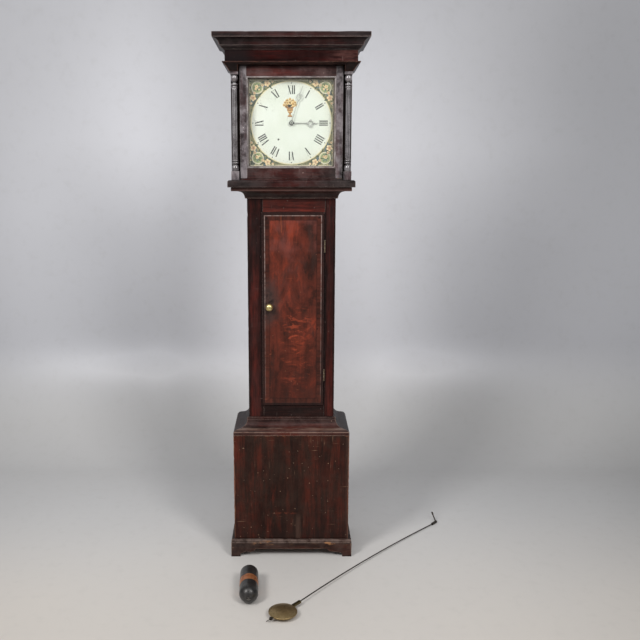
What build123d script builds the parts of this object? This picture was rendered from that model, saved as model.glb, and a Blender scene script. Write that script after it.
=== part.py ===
from build123d import *
import os
from math import cos, sin, pi, radians, degrees, atan2, hypot, sqrt

# Longcase clock, millimetres.  +Z up, front of the case faces -Y, +X to the
# right of somebody who looks at the dial.  Origin: centre of the footprint of
# the base box on the floor.

# ---------------------------------------------------------------- dimensions
Y_BACK = 126.0            # rear face of the backboard
Z_TOP = 1961.0            # top of the cornice

# base box
BASE_W = 223.0            # half width
BASE_F = -126.0           # front face
BASE_Z0, BASE_Z1 = 34.0, 492.0
BASE_T = 16.0
SKIRT_OUT = 13.0
SKIRT_TOP = 69.5
APRON_Z = 32.4

# trunk
TRUNK_W = 164.8
TRUNK_F = -68.0
TRUNK_T = 16.0            # thickness of the sides
FRAME_T = 20.0            # thickness of the front frame
TRUNK_Z0 = 500.0
TRUNK_Z1 = 1431.0
CHEEK_TOP = 1560.0
OPEN_X0, OPEN_X1 = -106.5, 125.5   # opening for the trunk door
OPEN_Z0, OPEN_Z1 = 602.0, 1336.0

# trunk door
TD_X0, TD_X1 = -112.3, 124.4       # lipped outline
TD_Z0, TD_Z1 = 596.0, 1341.8
TD_FACE = -74.0
TD_LIP_BACK = -68.3
TD_BACK = -54.0
TD_HINGE_X, TD_HINGE_Y = 125.0, -75.2
TD_HINGE_Z = ((1192.0, 1237.0), (698.0, 741.0))
KNOB_X, KNOB_Z, KNOB_R = -83.4, 986.0, 14.6

# hood
HOOD_W = 217.0
HOOD_F = -126.0
HOOD_T = 12.0
HOOD_Z0 = 1432.5
HOOD_BASE_TOP = 1458.0
HOOD_SILL_TOP = 1463.8
ENT_Z0 = 1858.0           # underside of the entablature over the door
FRIEZE_Z0, FRIEZE_Z1 = 1868.0, 1905.0
COL_X, COL_Y, COL_HALF = 202.7, -112.0, 14.3

# hood door
HD_W = 184.0
HD_F, HD_B = -119.0, -99.0
HD_Z0, HD_Z1 = 1464.5, 1856.6
HD_OPEN = 154.0
HD_OZ0, HD_OZ1 = 1506.5, 1815.0
HD_HINGE_X, HD_HINGE_Y = 180.0, -114.0

# dial and hands
DIAL_HALF = 152.5
DIAL_Z = 1661.0           # centre of the dial and of the hands
DIAL_F, DIAL_B = -91.0, -89.4

# movement
PLATE_W = 82.0
PLATE_Z0, PLATE_Z1 = 1578.0, 1736.0
FP_F, FP_B = -55.0, -52.5          # front plate
BP_F, BP_B = 8.0, 10.5             # back plate
SEAT_Z0, SEAT_Z1 = 1560.0, 1578.0

# pendulum and weight, lying on the floor in front of the clock
BOB_X, BOB_Y, BOB_R = -28.9, -557.2, 49.6
ROD_END_X, ROD_END_Y = 604.0, 141.0
WEIGHT_X, WEIGHT_Y, WEIGHT_R, WEIGHT_L = -152.0, -409.5, 33.5, 190.0
WEIGHT_TURN = 2.2                   # degrees about Z

PARTS = {}


# ------------------------------------------------------------------- helpers
def put(name, *shapes):
    PARTS.setdefault(name, []).extend(shapes)


def box(x0, x1, y0, y1, z0, z1):
    return Pos((x0 + x1) / 2, (y0 + y1) / 2, (z0 + z1) / 2) * Box(x1 - x0, y1 - y0, z1 - z0)


def cyl_y(x, z, y0, y1, r):
    return Pos(x, (y0 + y1) / 2, z) * Rot(90, 0, 0) * Cylinder(r, y1 - y0)


def cyl_z(x, y, z0, z1, r):
    return Pos(x, y, (z0 + z1) / 2) * Cylinder(r, z1 - z0)


def cyl_x(y, z, x0, x1, r):
    return Pos((x0 + x1) / 2, y, z) * Rot(0, 90, 0) * Cylinder(r, x1 - x0)


def poly(points, direction):
    """Solid prism: a closed polygon in space, pushed along a vector."""
    face = Face(Wire.make_polygon([Vector(*p) for p in points], close=True))
    v = Vector(*direction)
    return extrude(face, amount=v.length, dir=v.normalized())


def prism_y(pts, y0, y1):
    return poly([(x, y0, z) for x, z in pts], (0, y1 - y0, 0))


def prism_z(pts, z0, z1):
    return poly([(x, y, z0) for x, y in pts], (0, 0, z1 - z0))


def mitred(profile, w, yf, back=Y_BACK):
    """Moulding round three sides of a box.  profile: (projection, height)."""
    dmin = min(d for d, z in profile)
    dmax = max(d for d, z in profile)
    z0 = min(z for d, z in profile) - 1
    z1 = max(z for d, z in profile) + 1
    a, b = w + dmin, w + dmax
    front = poly([(-b - 1, yf - d, z) for d, z in profile], (2 * b + 2, 0, 0))
    front = front & prism_z([(-a, yf - dmin), (-b, yf - dmax), (b, yf - dmax), (a, yf - dmin)], z0, z1)
    out = [front]
    for s in (-1, 1):
        side = poly([(s * (w + d), yf - dmax - 1, z) for d, z in profile], (0, back - yf + dmax + 1, 0))
        side = side & prism_z([(s * a, yf - dmin), (s * b, yf - dmax), (s * b, back), (s * a, back)], z0, z1)
        out.append(side)
    return out


def arc_pts(cx, cy, r, a0, a1, n, ry=None):
    ry = r if ry is None else ry
    return [(cx + r * cos(radians(a0 + (a1 - a0) * i / n)), cy + ry * sin(radians(a0 + (a1 - a0) * i / n))) for i in range(n + 1)]


def hexagon(cx, cz, flats):
    r = flats / sqrt(3)
    return [(cx + r * cos(radians(30 + 60 * i)), cz + r * sin(radians(30 + 60 * i))) for i in range(6)]


def gear_pts(n, m, cx, cz, phase, leaf=False):
    """Outline of a clock wheel, or of a pinion when leaf is set."""
    rp = n * m / 2
    pts = []
    if leaf:
        rows = ((rp - 1.75 * m, 0.34), (rp - 0.2 * m, 0.40), (rp + 0.35 * m, 0.34), (rp + 0.62 * m, 0.14))
    else:
        rows = ((rp - 1.35 * m, 0.66), (rp - 0.1 * m, 0.60), (rp + 0.55 * m, 0.42), (rp + 1.05 * m, 0.16))
    for k in range(n):
        a = phase + 2 * pi * k / n
        left = [(r, a - h * m / r) for r, h in rows]
        right = [(r, a + h * m / r) for r, h in reversed(rows)]
        pts += [(cx + r * cos(t), cz + r * sin(t)) for r, t in left + right]
    return pts


def wheel(n, m, cx, cz, phase, y0, y1, hub=4.0, spokes=4, rim=3.6, boss=7.0, arm=3.0):
    """Crossed-out brass wheel, every face flat, on a hexagonal seat."""
    body = prism_y(gear_pts(n, m, cx, cz, phase), y0, y1)
    body = body - prism_y(hexagon(cx, cz, hub), y0 - 1, y1 + 1)
    ro = n * m / 2 - 1.35 * m - rim
    if spokes and ro > boss + 5:
        for k in range(spokes):
            mid = pi / 4 + 2 * pi * k / spokes
            half_o = pi / spokes - (arm / 2) / ro
            half_i = pi / spokes - (arm / 2) / boss
            outer = [(ro * cos(mid - half_o + 2 * half_o * i / 8), ro * sin(mid - half_o + 2 * half_o * i / 8)) for i in range(9)]
            inner = [(boss * cos(mid + half_i - 2 * half_i * i / 3), boss * sin(mid + half_i - 2 * half_i * i / 3)) for i in range(4)]
            body = body - prism_y([(cx + x, cz + z) for x, z in outer + inner], y0 - 1, y1 + 1)
    return body


def arbor(cx, cz, flats, y0, y1, pivot_r=0.9, p0=None, p1=None, seats=()):
    """Steel arbor: hexagonal stem with round pivots, and wider wheel seats."""
    a = FP_F if p0 is None else p0
    b = BP_B if p1 is None else p1
    body = prism_y(hexagon(cx, cz, flats), y0, y1)
    for s0, s1, f in seats:
        body = body + prism_y(hexagon(cx, cz, f), s0, s1)
    return body + cyl_y(cx, cz, a, b, pivot_r)


def meet(p, ra, q, rb, side):
    """Point at distance ra from p and rb from q, on the given side."""
    dx, dz = q[0] - p[0], q[1] - p[1]
    d = hypot(dx, dz)
    a = (ra * ra - rb * rb + d * d) / (2 * d)
    h = sqrt(ra * ra - a * a)
    return (p[0] + a * dx / d - side * h * dz / d, p[1] + a * dz / d + side * h * dx / d)


def ang(p, q):
    return atan2(q[1] - p[1], q[0] - p[0])


# ----------------------------------------------------------- carcase, fixed
# one long board, with strips glued to its edges at the base and at the hood
put("backboard", box(-TRUNK_W, TRUNK_W, Y_BACK - 12, Y_BACK, BASE_Z0, 1899) - cyl_y(0, 1780, Y_BACK - 14, Y_BACK + 2, 3.0))
for s in (-1, 1):
    x0, x1 = sorted((s * TRUNK_W, s * BASE_W))
    put("backboard", box(x0, x1, Y_BACK - 12, Y_BACK, BASE_Z0, BASE_Z1))
    x0, x1 = sorted((s * TRUNK_W, s * 203))
    put("backboard", box(x0, x1, Y_BACK - 12, Y_BACK, 1462, 1899))

for s in (-1, 1):
    x0, x1 = sorted((s * (TRUNK_W - TRUNK_T), s * TRUNK_W))
    put("trunk_sides", box(x0, x1, TRUNK_F + FRAME_T, Y_BACK - 12, BASE_Z1, CHEEK_TOP))
    x0, x1 = sorted((s * (BASE_W - BASE_T), s * BASE_W))
    put("base_sides", box(x0, x1, BASE_F + BASE_T, Y_BACK - 12, BASE_Z0, BASE_Z1))

stile = box(OPEN_X1, TRUNK_W, TRUNK_F, TRUNK_F + FRAME_T, BASE_Z1, TRUNK_Z1)
for z0, z1 in TD_HINGE_Z:   # housings for the hinge leaves
    stile = stile - box(OPEN_X1 - 1, OPEN_X1 + 2.1, TRUNK_F - 1, TRUNK_F + 13.3, z0 - 0.3, z1 + 0.3)
put("trunk_front_frame",
    box(-TRUNK_W, OPEN_X0, TRUNK_F, TRUNK_F + FRAME_T, BASE_Z1, TRUNK_Z1),
    stile,
    box(OPEN_X0, OPEN_X1, TRUNK_F, TRUNK_F + FRAME_T, OPEN_Z1, TRUNK_Z1),
    box(OPEN_X0, OPEN_X1, TRUNK_F, TRUNK_F + FRAME_T, BASE_Z1, OPEN_Z0))

put("base_front_panel", box(-BASE_W, BASE_W, BASE_F, BASE_F + BASE_T, BASE_Z0, BASE_Z1))
put("base_bottom_board", box(-BASE_W + BASE_T, BASE_W - BASE_T, BASE_F + BASE_T, Y_BACK - 12, 36, 48))

# concave moulding between base and trunk
cove_low = arc_pts(34.5, 540.5, 27, 180, 270, 9, 27.3)
put("base_top_moulding", *mitred(
    [(0, 492), (58, 492), (58, 504), (57, 505), (55.4, 505.4), (55, 507), (53.4, 509), (50.5, 510.8), (46, 512.1), (40, 512.9)] + [(d, z) for d, z in reversed(cove_low)]
    + [(6.5, 541.5), (6.5, 550), (5.5, 551), (0, 552)],
    TRUNK_W, TRUNK_F))

# concave moulding that carries the hood
cove_up = arc_pts(29, 1395, 21, 180, 90, 10, 22)
put("waist_moulding", *mitred(
    [(0, 1391.3), (7, 1391.3), (7, 1394)] + cove_up + [(29, 1418.5), (53.5, 1418.5), (55, 1420), (55, 1431.2), (54, 1432), (0, 1432)],
    TRUNK_W, TRUNK_F))


# plinth skirt with bracket feet
foot_in, cusp, end = 200.4, 182.8, 141.3
right = [(foot_in, -1), (foot_in, 8)] + arc_pts(foot_in - 9, 8, 9, 0, 90, 5)[1:] + [(cusp + 1.5, 17.6), (cusp, 19.6)] \
    + [(cusp - 14, 19.8)] + arc_pts(cusp - 14, APRON_Z, 27.5, 270, 180, 7, 12.6)[1:]
right = [p for p in right if p[1] <= APRON_Z + 0.01]
front_hole = [(x, z) for x, z in right] + [(-x, z) for x, z in reversed(right)]
skirt_profile = [(0, 0), (SKIRT_OUT, 0), (SKIRT_OUT, 57), (11.8, 57.8), (11.8, 59)] \
    + arc_pts(7.5, 64, 4.4, -55, 90, 6, 5.4) + [(0, SKIRT_TOP)]
skirt = mitred(skirt_profile, BASE_W, BASE_F)
skirt[0] = skirt[0] - prism_y(front_hole, BASE_F - 30, BASE_F + 5)
yf, yb = BASE_F - SKIRT_OUT, Y_BACK
half = (yb - yf) / 2
mid = (yb + yf) / 2
k = (half - 36) - foot_in
side_hole = [(x + k + mid, z) for x, z in right] + [(-x - k + mid, z) for x, z in reversed(right)]
for i in (1, 2):
    s = -1 if i == 1 else 1
    cut = poly([(s * (BASE_W - 5), u, z) for u, z in side_hole], (s * 40, 0, 0))
    skirt[i] = skirt[i] - cut
put("plinth_skirt", *skirt)

# seatboard on the two cheeks, with four rope holes
seat = box(-TRUNK_W, TRUNK_W, -58, 100, SEAT_Z0, SEAT_Z1)
for x in (-62, -22, 22, 62):
    seat = seat - cyl_z(x, -8, SEAT_Z0 - 1, SEAT_Z1 + 1, 9)
put("seatboard", seat)

# fixed halves of the trunk door hinges: leaf let into the edge of the stile,
# so that only the knuckles show from the front
for z0, z1 in TD_HINGE_Z:
    h = (z1 - z0) / 3
    leaf = box(OPEN_X1 + 0.15, OPEN_X1 + 1.9, TRUNK_F - 0.1, TRUNK_F + 13, z0, z1)
    for a, b in ((z0, z0 + h - 0.15), (z1 - h + 0.15, z1)):
        leaf = leaf + cyl_z(TD_HINGE_X, TD_HINGE_Y, a, b, 2.4)
        leaf = leaf + box(OPEN_X1 + 0.15, OPEN_X1 + 1.9, TD_HINGE_Y, TRUNK_F, a, b)
    leaf = leaf - cyl_z(TD_HINGE_X, TD_HINGE_Y, z0 - 1, z1 + 1, 1.25)
    put("trunk_hinge_plates", leaf)

# ---------------------------------------------------------------- trunk door
door = box(OPEN_X0 + 1.6, TD_X1, TD_LIP_BACK, TD_BACK, OPEN_Z0 + 1, OPEN_Z1 - 1)
lip = box(TD_X0, TD_X1, TD_FACE, TD_LIP_BACK, TD_Z0, TD_Z1)
lip = chamfer(lip.edges().filter_by(Plane.XZ).group_by(Axis.Y)[0], 3.2)
door = door + lip
door = door - cyl_y(KNOB_X, KNOB_Z, TD_FACE - 5, TD_BACK + 5, 3.05)
for z0, z1 in TD_HINGE_Z:   # housing for the knuckles and for the hinge leaf
    door = door - box(TD_HINGE_X - 3.2, TD_X1 + 1, TD_FACE - 1, TD_FACE + 4.6, z0 - 0.4, z1 + 0.4)
    door = door - box(TD_X1 - 1.5, TD_X1 + 1, TD_FACE + 4.5, TD_FACE + 15.3, z0 - 0.4, z1 + 0.4)
put("trunk_door_panel", door)

for z0, z1 in TD_HINGE_Z:
    h = (z1 - z0) / 3
    a, b = z0 + h + 0.15, z1 - h - 0.15
    leaf = box(TD_X1 - 1.3, TD_X1 - 0.2, TD_FACE + 4.7, TD_FACE + 15, z0, z1)
    leaf = leaf + box(TD_X1 - 1.3, TD_X1 - 0.2, TD_HINGE_Y, TD_FACE + 4.8, a, b)
    leaf = leaf + cyl_z(TD_HINGE_X, TD_HINGE_Y, a, b, 2.4)
    leaf = leaf + cyl_z(TD_HINGE_X, TD_HINGE_Y, z0, z1, 1.2)
    put("trunk_door_hinge_leaves", leaf)

# brass ball knob; its spindle turns the tongue behind the frame.  The tongue
# points up at rest, and locks behind the left stile after a quarter turn.
SPINDLE = 33.0
with BuildPart() as kn:
    with BuildSketch(Plane.XZ) as sk:
        with BuildLine():
            Polyline((0, -SPINDLE), (3.0, -SPINDLE), (3.0, 0), (10.5, 0), (10.5, 1.6), (6.6, 3.0), (5.2, 5.0), (5.4, 7.0), (8.5, 9.4))
            ThreePointArc((8.5, 9.4), (KNOB_R, 19.2), (9.0, 29.4))
            Polyline((9.0, 29.4), (7.0, 30.6), (4.8, 31.5), (2.4, 32.0), (0, 32.2), (0, -SPINDLE))
        make_face()
    revolve(axis=Axis.Z)
put("door_knob", Pos(KNOB_X, TD_FACE - 0.1, KNOB_Z) * Rot(90, 0, 0) * kn.part)
tongue = box(KNOB_X - 8, KNOB_X + 8, TRUNK_F + FRAME_T + 0.4, TRUNK_F + FRAME_T + 4.4, KNOB_Z - 9, KNOB_Z + 36)
put("latch_tongue", tongue - cyl_y(KNOB_X, KNOB_Z, TRUNK_F, TRUNK_F + FRAME_T + 10, 3.0)
    + (cyl_y(KNOB_X, KNOB_Z, TD_BACK + 0.4, TRUNK_F + FRAME_T + 0.4, 7) - cyl_y(KNOB_X, KNOB_Z, TD_BACK - 1, TRUNK_F + FRAME_T + 1, 3.0)))

# ---------------------------------------------------------------------- hood
for s in (-1, 1):
    x0, x1 = sorted((s * (HOOD_W - HOOD_T), s * HOOD_W))
    put("hood_sides", box(x0, x1, -98, Y_BACK, HOOD_BASE_TOP, FRIEZE_Z1))
    x0, x1 = sorted((s * 166.6, s * HOOD_W))
    put("hood_frame", box(x0, x1, -80, Y_BACK, HOOD_Z0, HOOD_BASE_TOP))
PIN_R = 2.0
put("hood_frame",
    box(-HOOD_W, HOOD_W, HOOD_F, -80, HOOD_Z0, HOOD_BASE_TOP) + box(-187, 187, -118.5, -98.6, HOOD_BASE_TOP, HOOD_SILL_TOP)
    - cyl_z(HD_HINGE_X, HD_HINGE_Y, HOOD_BASE_TOP - 4, HOOD_SILL_TOP + 1, PIN_R + 0.06),
    box(-HOOD_W, HOOD_W, HOOD_F, -98, ENT_Z0, FRIEZE_Z1)
    - cyl_z(HD_HINGE_X, HD_HINGE_Y, ENT_Z0 - 1, ENT_Z0 + 8, PIN_R + 0.06))
put("hood_top_board", box(-218.8, 218.8, -127.8, Y_BACK, 1905, 1914))

put("frieze", *mitred([(0, FRIEZE_Z0), (17, FRIEZE_Z0), (17, FRIEZE_Z1), (0, FRIEZE_Z1)], HOOD_W, HOOD_F))

bed = mitred([(0, 1836), (2.5, 1836.6), (5, 1841), (9.5, 1848), (14, 1854.5), (19.5, 1860), (26, 1864), (26, 1867), (24.5, 1868), (0, 1868)],
             HOOD_W, HOOD_F)
bed[0] = bed[0] - box(-188.3, 188.3, HOOD_F - 40, HOOD_F + 5, 1830, ENT_Z0)
put("bed_moulding", *bed)

cove_top = arc_pts(57, 1919.5, 22, 180, 90, 9, 23.5)
put("cornice", *mitred(
    [(2, 1905), (19, 1905), (21.5, 1907.5), (21.5, 1909.5)] + arc_pts(21.5, 1917.5, 8, -90, 0, 5, 8)[1:] + [(31.5, 1917.5), (31.5, 1919.5), (35, 1919.5)]
    + cove_top[1:] + [(57, 1945.5), (58, 1946.5), (58, 1959.5), (56.5, 1961), (44, 1961), (14, 1926), (2, 1926)],
    HOOD_W, HOOD_F))

put("hood_base_moulding", *mitred(
    [(0, HOOD_Z0), (13, HOOD_Z0), (14, HOOD_Z0 + 1)] + [(14, 1452), (12.8, 1455), (10, 1457.2), (7, 1458), (0, 1458)], HOOD_W, HOOD_F))

# turned columns between square blocks, one at each front corner
shaft_profile = [
    (0, 1489.5), (10.6, 1489.5), (11.6, 1492), (12.0, 1496), (12.2, 1501), (11.6, 1507), (10.2, 1512), (8.6, 1514.5),
    (8.6, 1516.5), (11.0, 1518), (11.0, 1521), (8.8, 1522.5), (8.8, 1524.5), (10.6, 1526), (10.6, 1529), (9.2, 1531),
    (9.2, 1660), (8.8, 1779), (10.0, 1781), (10.4, 1784), (8.6, 1786), (8.6, 1788.5), (11.0, 1790.5), (11.2, 1794),
    (8.8, 1796.5), (8.6, 1801), (9.6, 1804.5), (11.6, 1808.5), (12.3, 1813.5), (11.8, 1819), (10.4, 1823.5), (9.6, 1826.5), (0, 1826.5)]
for s in (-1, 1):
    with BuildPart() as col:
        with BuildSketch(Plane.XZ) as sk:
            with BuildLine():
                Polyline(*shaft_profile, close=True)
            make_face()
        revolve(axis=Axis.Z)
    x = s * COL_X
    turned = Pos(x, COL_Y, 0) * col.part
    turned = turned + box(x - COL_HALF, x + COL_HALF, COL_Y - 14, COL_Y + 14, HOOD_BASE_TOP, 1490)
    turned = turned + box(x - COL_HALF, x + COL_HALF, COL_Y - 14, COL_Y + 14, 1826, ENT_Z0)
    put("hood_columns", turned)

# mask that frames the dial behind the door
mx, m0, m1 = 154.0, 1507.0, 1815.0
put("dial_mask",
    box(-204.6, -mx, -97.9, -92.4, 1459, 1857), box(mx, 204.6, -97.9, -92.4, 1459, 1857),
    box(-mx, mx, -97.9, -92.4, m1, 1857), box(-mx, mx, -97.9, -92.4, 1459, m0))

# ----------------------------------------------------------------- hood door
rab = box(-HD_OPEN - 4, HD_OPEN + 4, -107.5, HD_B + 1, HD_OZ0 - 4, HD_OZ1 + 4)
rails = [
    box(-HD_W, -HD_OPEN, HD_F, HD_B, HD_Z0, HD_Z1), box(HD_OPEN, HD_W, HD_F, HD_B, HD_Z0, HD_Z1),
    box(-HD_OPEN, HD_OPEN, HD_F, HD_B, HD_OZ1, HD_Z1), box(-HD_OPEN, HD_OPEN, HD_F, HD_B, HD_Z0, HD_OZ0)]
notch = [cyl_z(HD_HINGE_X, HD_HINGE_Y, HD_Z0 - 1, HD_Z0 + 12, PIN_R), cyl_z(HD_HINGE_X, HD_HINGE_Y, HD_Z1 - 12, HD_Z1 + 1, PIN_R)]
for i, r in enumerate(rails):
    r = r - rab
    if i == 1:
        for n in notch:
            r = r - n
        r = r - box(HD_HINGE_X - 14, HD_W + 1, HD_F - 1, HD_B + 1, HD_Z0 - 1, HD_Z0 + 1.6)
        r = r - box(HD_HINGE_X - 14, HD_W + 1, HD_F - 1, HD_B + 1, HD_Z1 - 1.6, HD_Z1 + 1)
    put("hood_door_frame", r)
put("hood_door_glass", box(-HD_OPEN - 3.4, HD_OPEN + 3.4, -107.3, -105.1, HD_OZ0 - 3.4, HD_OZ1 + 3.4))
put("hood_door_pivots",
    box(HD_HINGE_X - 14, HD_W - 0.2, HD_F + 0.4, HD_B - 1, HD_Z0, HD_Z0 + 1.6) + cyl_z(HD_HINGE_X, HD_HINGE_Y, HOOD_BASE_TOP - 2, HD_Z0 + 12, PIN_R),
    box(HD_HINGE_X - 14, HD_W - 0.2, HD_F + 0.4, HD_B - 1, HD_Z1 - 1.6, HD_Z1) + cyl_z(HD_HINGE_X, HD_HINGE_Y, HD_Z1 - 12, ENT_Z0 + 6, PIN_R))

# ------------------------------------------------------- movement, fixed part
C = (0.0, DIAL_Z)
M_GREAT, M_SECOND = 0.75, 0.65
E = (0.0, DIAL_Z + 29.6)                                    # escape arbor
S2 = (26.0, E[1] - sqrt(31.2 ** 2 - 26.0 ** 2))             # second arbor
G = meet(C, 48.0, S2, 39.0, -1)                             # going great arbor
if G[1] > DIAL_Z:
    G = meet(C, 48.0, S2, 39.0, 1)
P = (0.0, E[1] + 28.0)                                      # pallet arbor
SG = (-G[0], G[1])                                          # strike great arbor
HP = (-30.0, SG[1] + sqrt(37.8 ** 2 - (SG[0] + 30.0) ** 2)) # hoop wheel arbor
WA = (HP[0] - 16.7, HP[1] + sqrt(23.625 ** 2 - 16.7 ** 2))  # warning arbor
FL = (WA[0] + 13.36, WA[1] + sqrt(18.9 ** 2 - 13.36 ** 2))  # fly arbor
CW = (SG[0] + 14.0, SG[1] - sqrt(28.0 ** 2 - 14.0 ** 2))    # count wheel stud
HA = (-73.0, 1664.0)                                        # hammer arbor

PIV = 0.95
front = box(-PLATE_W, PLATE_W, FP_F, FP_B, PLATE_Z0, PLATE_Z1)
back = box(-PLATE_W, PLATE_W, BP_F, BP_B, PLATE_Z0, PLATE_Z1)
for c in (S2, E, HP, WA, FL, HA):
    front = front - cyl_y(c[0], c[1], FP_F - 1, FP_B + 1, PIV)
    back = back - cyl_y(c[0], c[1], BP_F - 1, BP_B + 1, PIV)
front = front - cyl_y(P[0], P[1], FP_F - 1, FP_B + 1, PIV) - cyl_y(G[0], G[1], FP_F - 1, FP_B + 1, 2.55) \
    - cyl_y(SG[0], SG[1], FP_F - 1, FP_B + 1, PIV)
back = back - cyl_y(G[0], G[1], BP_F - 1, BP_B + 1, PIV) - cyl_y(SG[0], SG[1], BP_F - 1, BP_B + 1, 2.05) \
    - box(-5, 5, BP_F - 1, BP_B + 1, P[1] - 5, PLATE_Z1 + 1)
put("front_plate", front)
put("back_plate", back)
for x, z in ((-74, PLATE_Z0 + 9), (74, PLATE_Z0 + 9), (-60, PLATE_Z1 - 9), (74, PLATE_Z1 - 9)):
    put("plate_pillars", cyl_y(x, z, FP_B, BP_F, 4.5))
dial = box(-DIAL_HALF, DIAL_HALF, DIAL_F, DIAL_B, DIAL_Z - DIAL_HALF, DIAL_Z + DIAL_HALF) - cyl_y(0, DIAL_Z, DIAL_F - 1, DIAL_B + 1, 7.2)
put("dial_plate", dial)
for x in (-68, 68):
    for z in (1600, 1722):
        put("dial_feet", cyl_y(x, z, DIAL_B, FP_F, 3.0))
put("motion_stud", cyl_y(C[0], C[1], -100.2, FP_F, 2.5), cyl_y(CW[0], CW[1], BP_B, 17.5, 2.5))

# rear cock for the pallet arbor and the suspension of the pendulum
cock = box(-24, -18, BP_B, 40, P[1] - 6, P[1] + 6) + box(18, 24, BP_B, 40, P[1] - 6, P[1] + 6) \
    + box(-24, 24, 36, 40, P[1] - 6, P[1] + 12) + box(-7, -1.2, 40, 58, P[1] + 2, P[1] + 12) + box(1.2, 7, 40, 58, P[1] + 2, P[1] + 12)
cock = cock - cyl_y(P[0], P[1], 34, 42, PIV)
put("back_cock", cock)

# bell above the plates, mouth down
BELL_X, BELL_Y, BELL_Z, BELL_R = -15.0, -15.0, 1762.0, 35.0
with BuildPart() as bl:
    with BuildSketch(Plane.XZ) as sk:
        with BuildLine():
            Polyline((BELL_R, 0), (BELL_R - 3, 0))
            ThreePointArc((BELL_R - 3, 0), (23.2, 21.6), (3.05, 29.4))
            Line((3.05, 29.4), (3.05, 32.4))
            ThreePointArc((3.05, 32.4), (25.6, 23.8), (BELL_R, 0))
        make_face()
    revolve(axis=Axis.Z)
put("bell", Pos(BELL_X, BELL_Y, BELL_Z) * bl.part)
put("bell_stand",
    box(-42, -30, BP_B, BP_B + 2.5, PLATE_Z1 - 22, 1752)
    + box(-42, BELL_X + 6, BELL_Y - 6, BP_B + 2.5, 1749.5, 1752)
    + cyl_z(BELL_X, BELL_Y, 1752, BELL_Z + 38, 3.0)
    + cyl_z(BELL_X, BELL_Y, 1752, BELL_Z + 29.0, 4.4)
    + prism_z([(BELL_X + 6.5 * cos(radians(a)), BELL_Y + 6.5 * sin(radians(a))) for a in range(0, 360, 60)], BELL_Z + 32.6, BELL_Z + 36))

# -------------------------------------------------------------- motion work
# cannon wheel 24 and drive wheel 72, pinion of report 12 and hour wheel 48
a = ang(C, G)
put("cannon_wheel",
    cyl_y(0, C[1], -98.6, -64, 4.0) + prism_y(hexagon(0, C[1], 12), -64, -56.5) - cyl_y(0, C[1], -101, -50, 2.55),
    wheel(24, 1.0, 0, C[1], a + pi / 24, -62, -58, hub=12, spokes=0))
put("hour_wheel",
    cyl_y(0, C[1], -95.6, -72, 6.0) + prism_y(hexagon(0, C[1], 16), -72, -66) - cyl_y(0, C[1], -101, -55, 4.1),
    wheel(48, 1.6, 0, C[1], a, -70.4, -68, hub=16, spokes=4, rim=5, boss=13, arm=4))
put("motion_drive_wheel",
    prism_y(hexagon(G[0], G[1], 9), -74, -57) - cyl_y(G[0], G[1], -80, -50, 2.6),
    wheel(72, 1.0, G[0], G[1], a + pi, -61, -59, hub=9, spokes=4, rim=4.5, boss=9, arm=4),
    prism_y(gear_pts(12, 1.6, G[0], G[1], a + pi + pi / 12, True), -73.5, -65.5) - prism_y(hexagon(G[0], G[1], 9), -80, -50))

# ---------------------------------------------------------------- the hands
def hand_outline(length, spread, tail):
    """One side of a matching openwork hand, along +Z from the centre."""
    L, s = length, spread
    return [(3.4, 4.2), (1.4, 9.5), (1.15, L * 0.16), (2.6, L * 0.20), (1.15, L * 0.24), (1.0, L * 0.52), (2.2, L * 0.55), (1.0, L * 0.585),
            (s * 0.55, L * 0.63), (s, L * 0.68), (s * 1.02, L * 0.73), (s * 0.70, L * 0.775), (s * 0.36, L * 0.79), (1.3, L * 0.80), (1.5, L * 0.85), (0.35, L)]


def hand(length, spread, y0, y1, angle, hole):
    side = hand_outline(length, spread, 0)
    pts = side + [(-x, z) for x, z in reversed(side)]
    ring = [(8.2 * cos(t), 8.2 * sin(t)) for t in [2 * pi * i / 32 for i in range(32)]]
    blade = prism_y(pts, y0, y1) + cyl_y(0, 0, y0, y1, 8.2)
    hole2 = [(0, length * 0.615), (spread * 0.55, length * 0.665), (spread * 0.58, length * 0.73), (spread * 0.3, length * 0.762), (0, length * 0.772),
             (-spread * 0.3, length * 0.762), (-spread * 0.58, length * 0.73), (-spread * 0.55, length * 0.665)]
    blade = blade - prism_y(hole2, y0 - 1, y1 + 1) - cyl_y(0, 0, y0 - 1, y1 + 1, hole)
    return Pos(0, 0, DIAL_Z) * Rot(0, angle, 0) * blade


put("hour_hand", hand(98, 12.5, -95.6, -94.4, 91.0, 6.0))
put("minute_hand", hand(136, 9.5, -98.6, -97.6, 17.5, 4.0))
with BuildPart() as cl:
    with BuildSketch(Plane.XZ) as sk:
        with BuildLine():
            Polyline((2.55, 0), (7.6, 0), (7.6, 0.6))
            ThreePointArc((7.6, 0.6), (5.8, 1.9), (2.55, 2.5))
            Line((2.55, 2.5), (2.55, 0))
        make_face()
    revolve(axis=Axis.Z)
put("hand_collet", Pos(0, -98.7, DIAL_Z) * Rot(90, 0, 0) * cl.part)

# --------------------------------------------------------------- going train
aGS = ang(G, S2)
put("great_wheel",
    arbor(G[0], G[1], 7, -52, 7.5, 0.9, -53.5, BP_B, seats=((-24, -14, 10),)) + cyl_y(G[0], G[1], -76, -52, 2.5),
    wheel(96, M_GREAT, G[0], G[1], aGS, -20, -17.4, hub=10, boss=11, arm=4.5, rim=4),
    prism_y([(G[0] + r * cos(2 * pi * i / 40), G[1] + r * sin(2 * pi * i / 40)) for i, r in [(i, 21.5 if i % 2 else 19.5) for i in range(40)]], -14, -4) - prism_y(hexagon(G[0], G[1], 7), -30, 10))
put("second_wheel",
    arbor(S2[0], S2[1], 3, -52, 7.5) + prism_y(gear_pts(8, M_GREAT, S2[0], S2[1], aGS + pi + pi / 8, True), -23, -14.5),
    wheel(90, M_SECOND, S2[0], S2[1], ang(S2, E), -30.4, -27, hub=3, boss=6, arm=3))
esc = []
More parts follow.
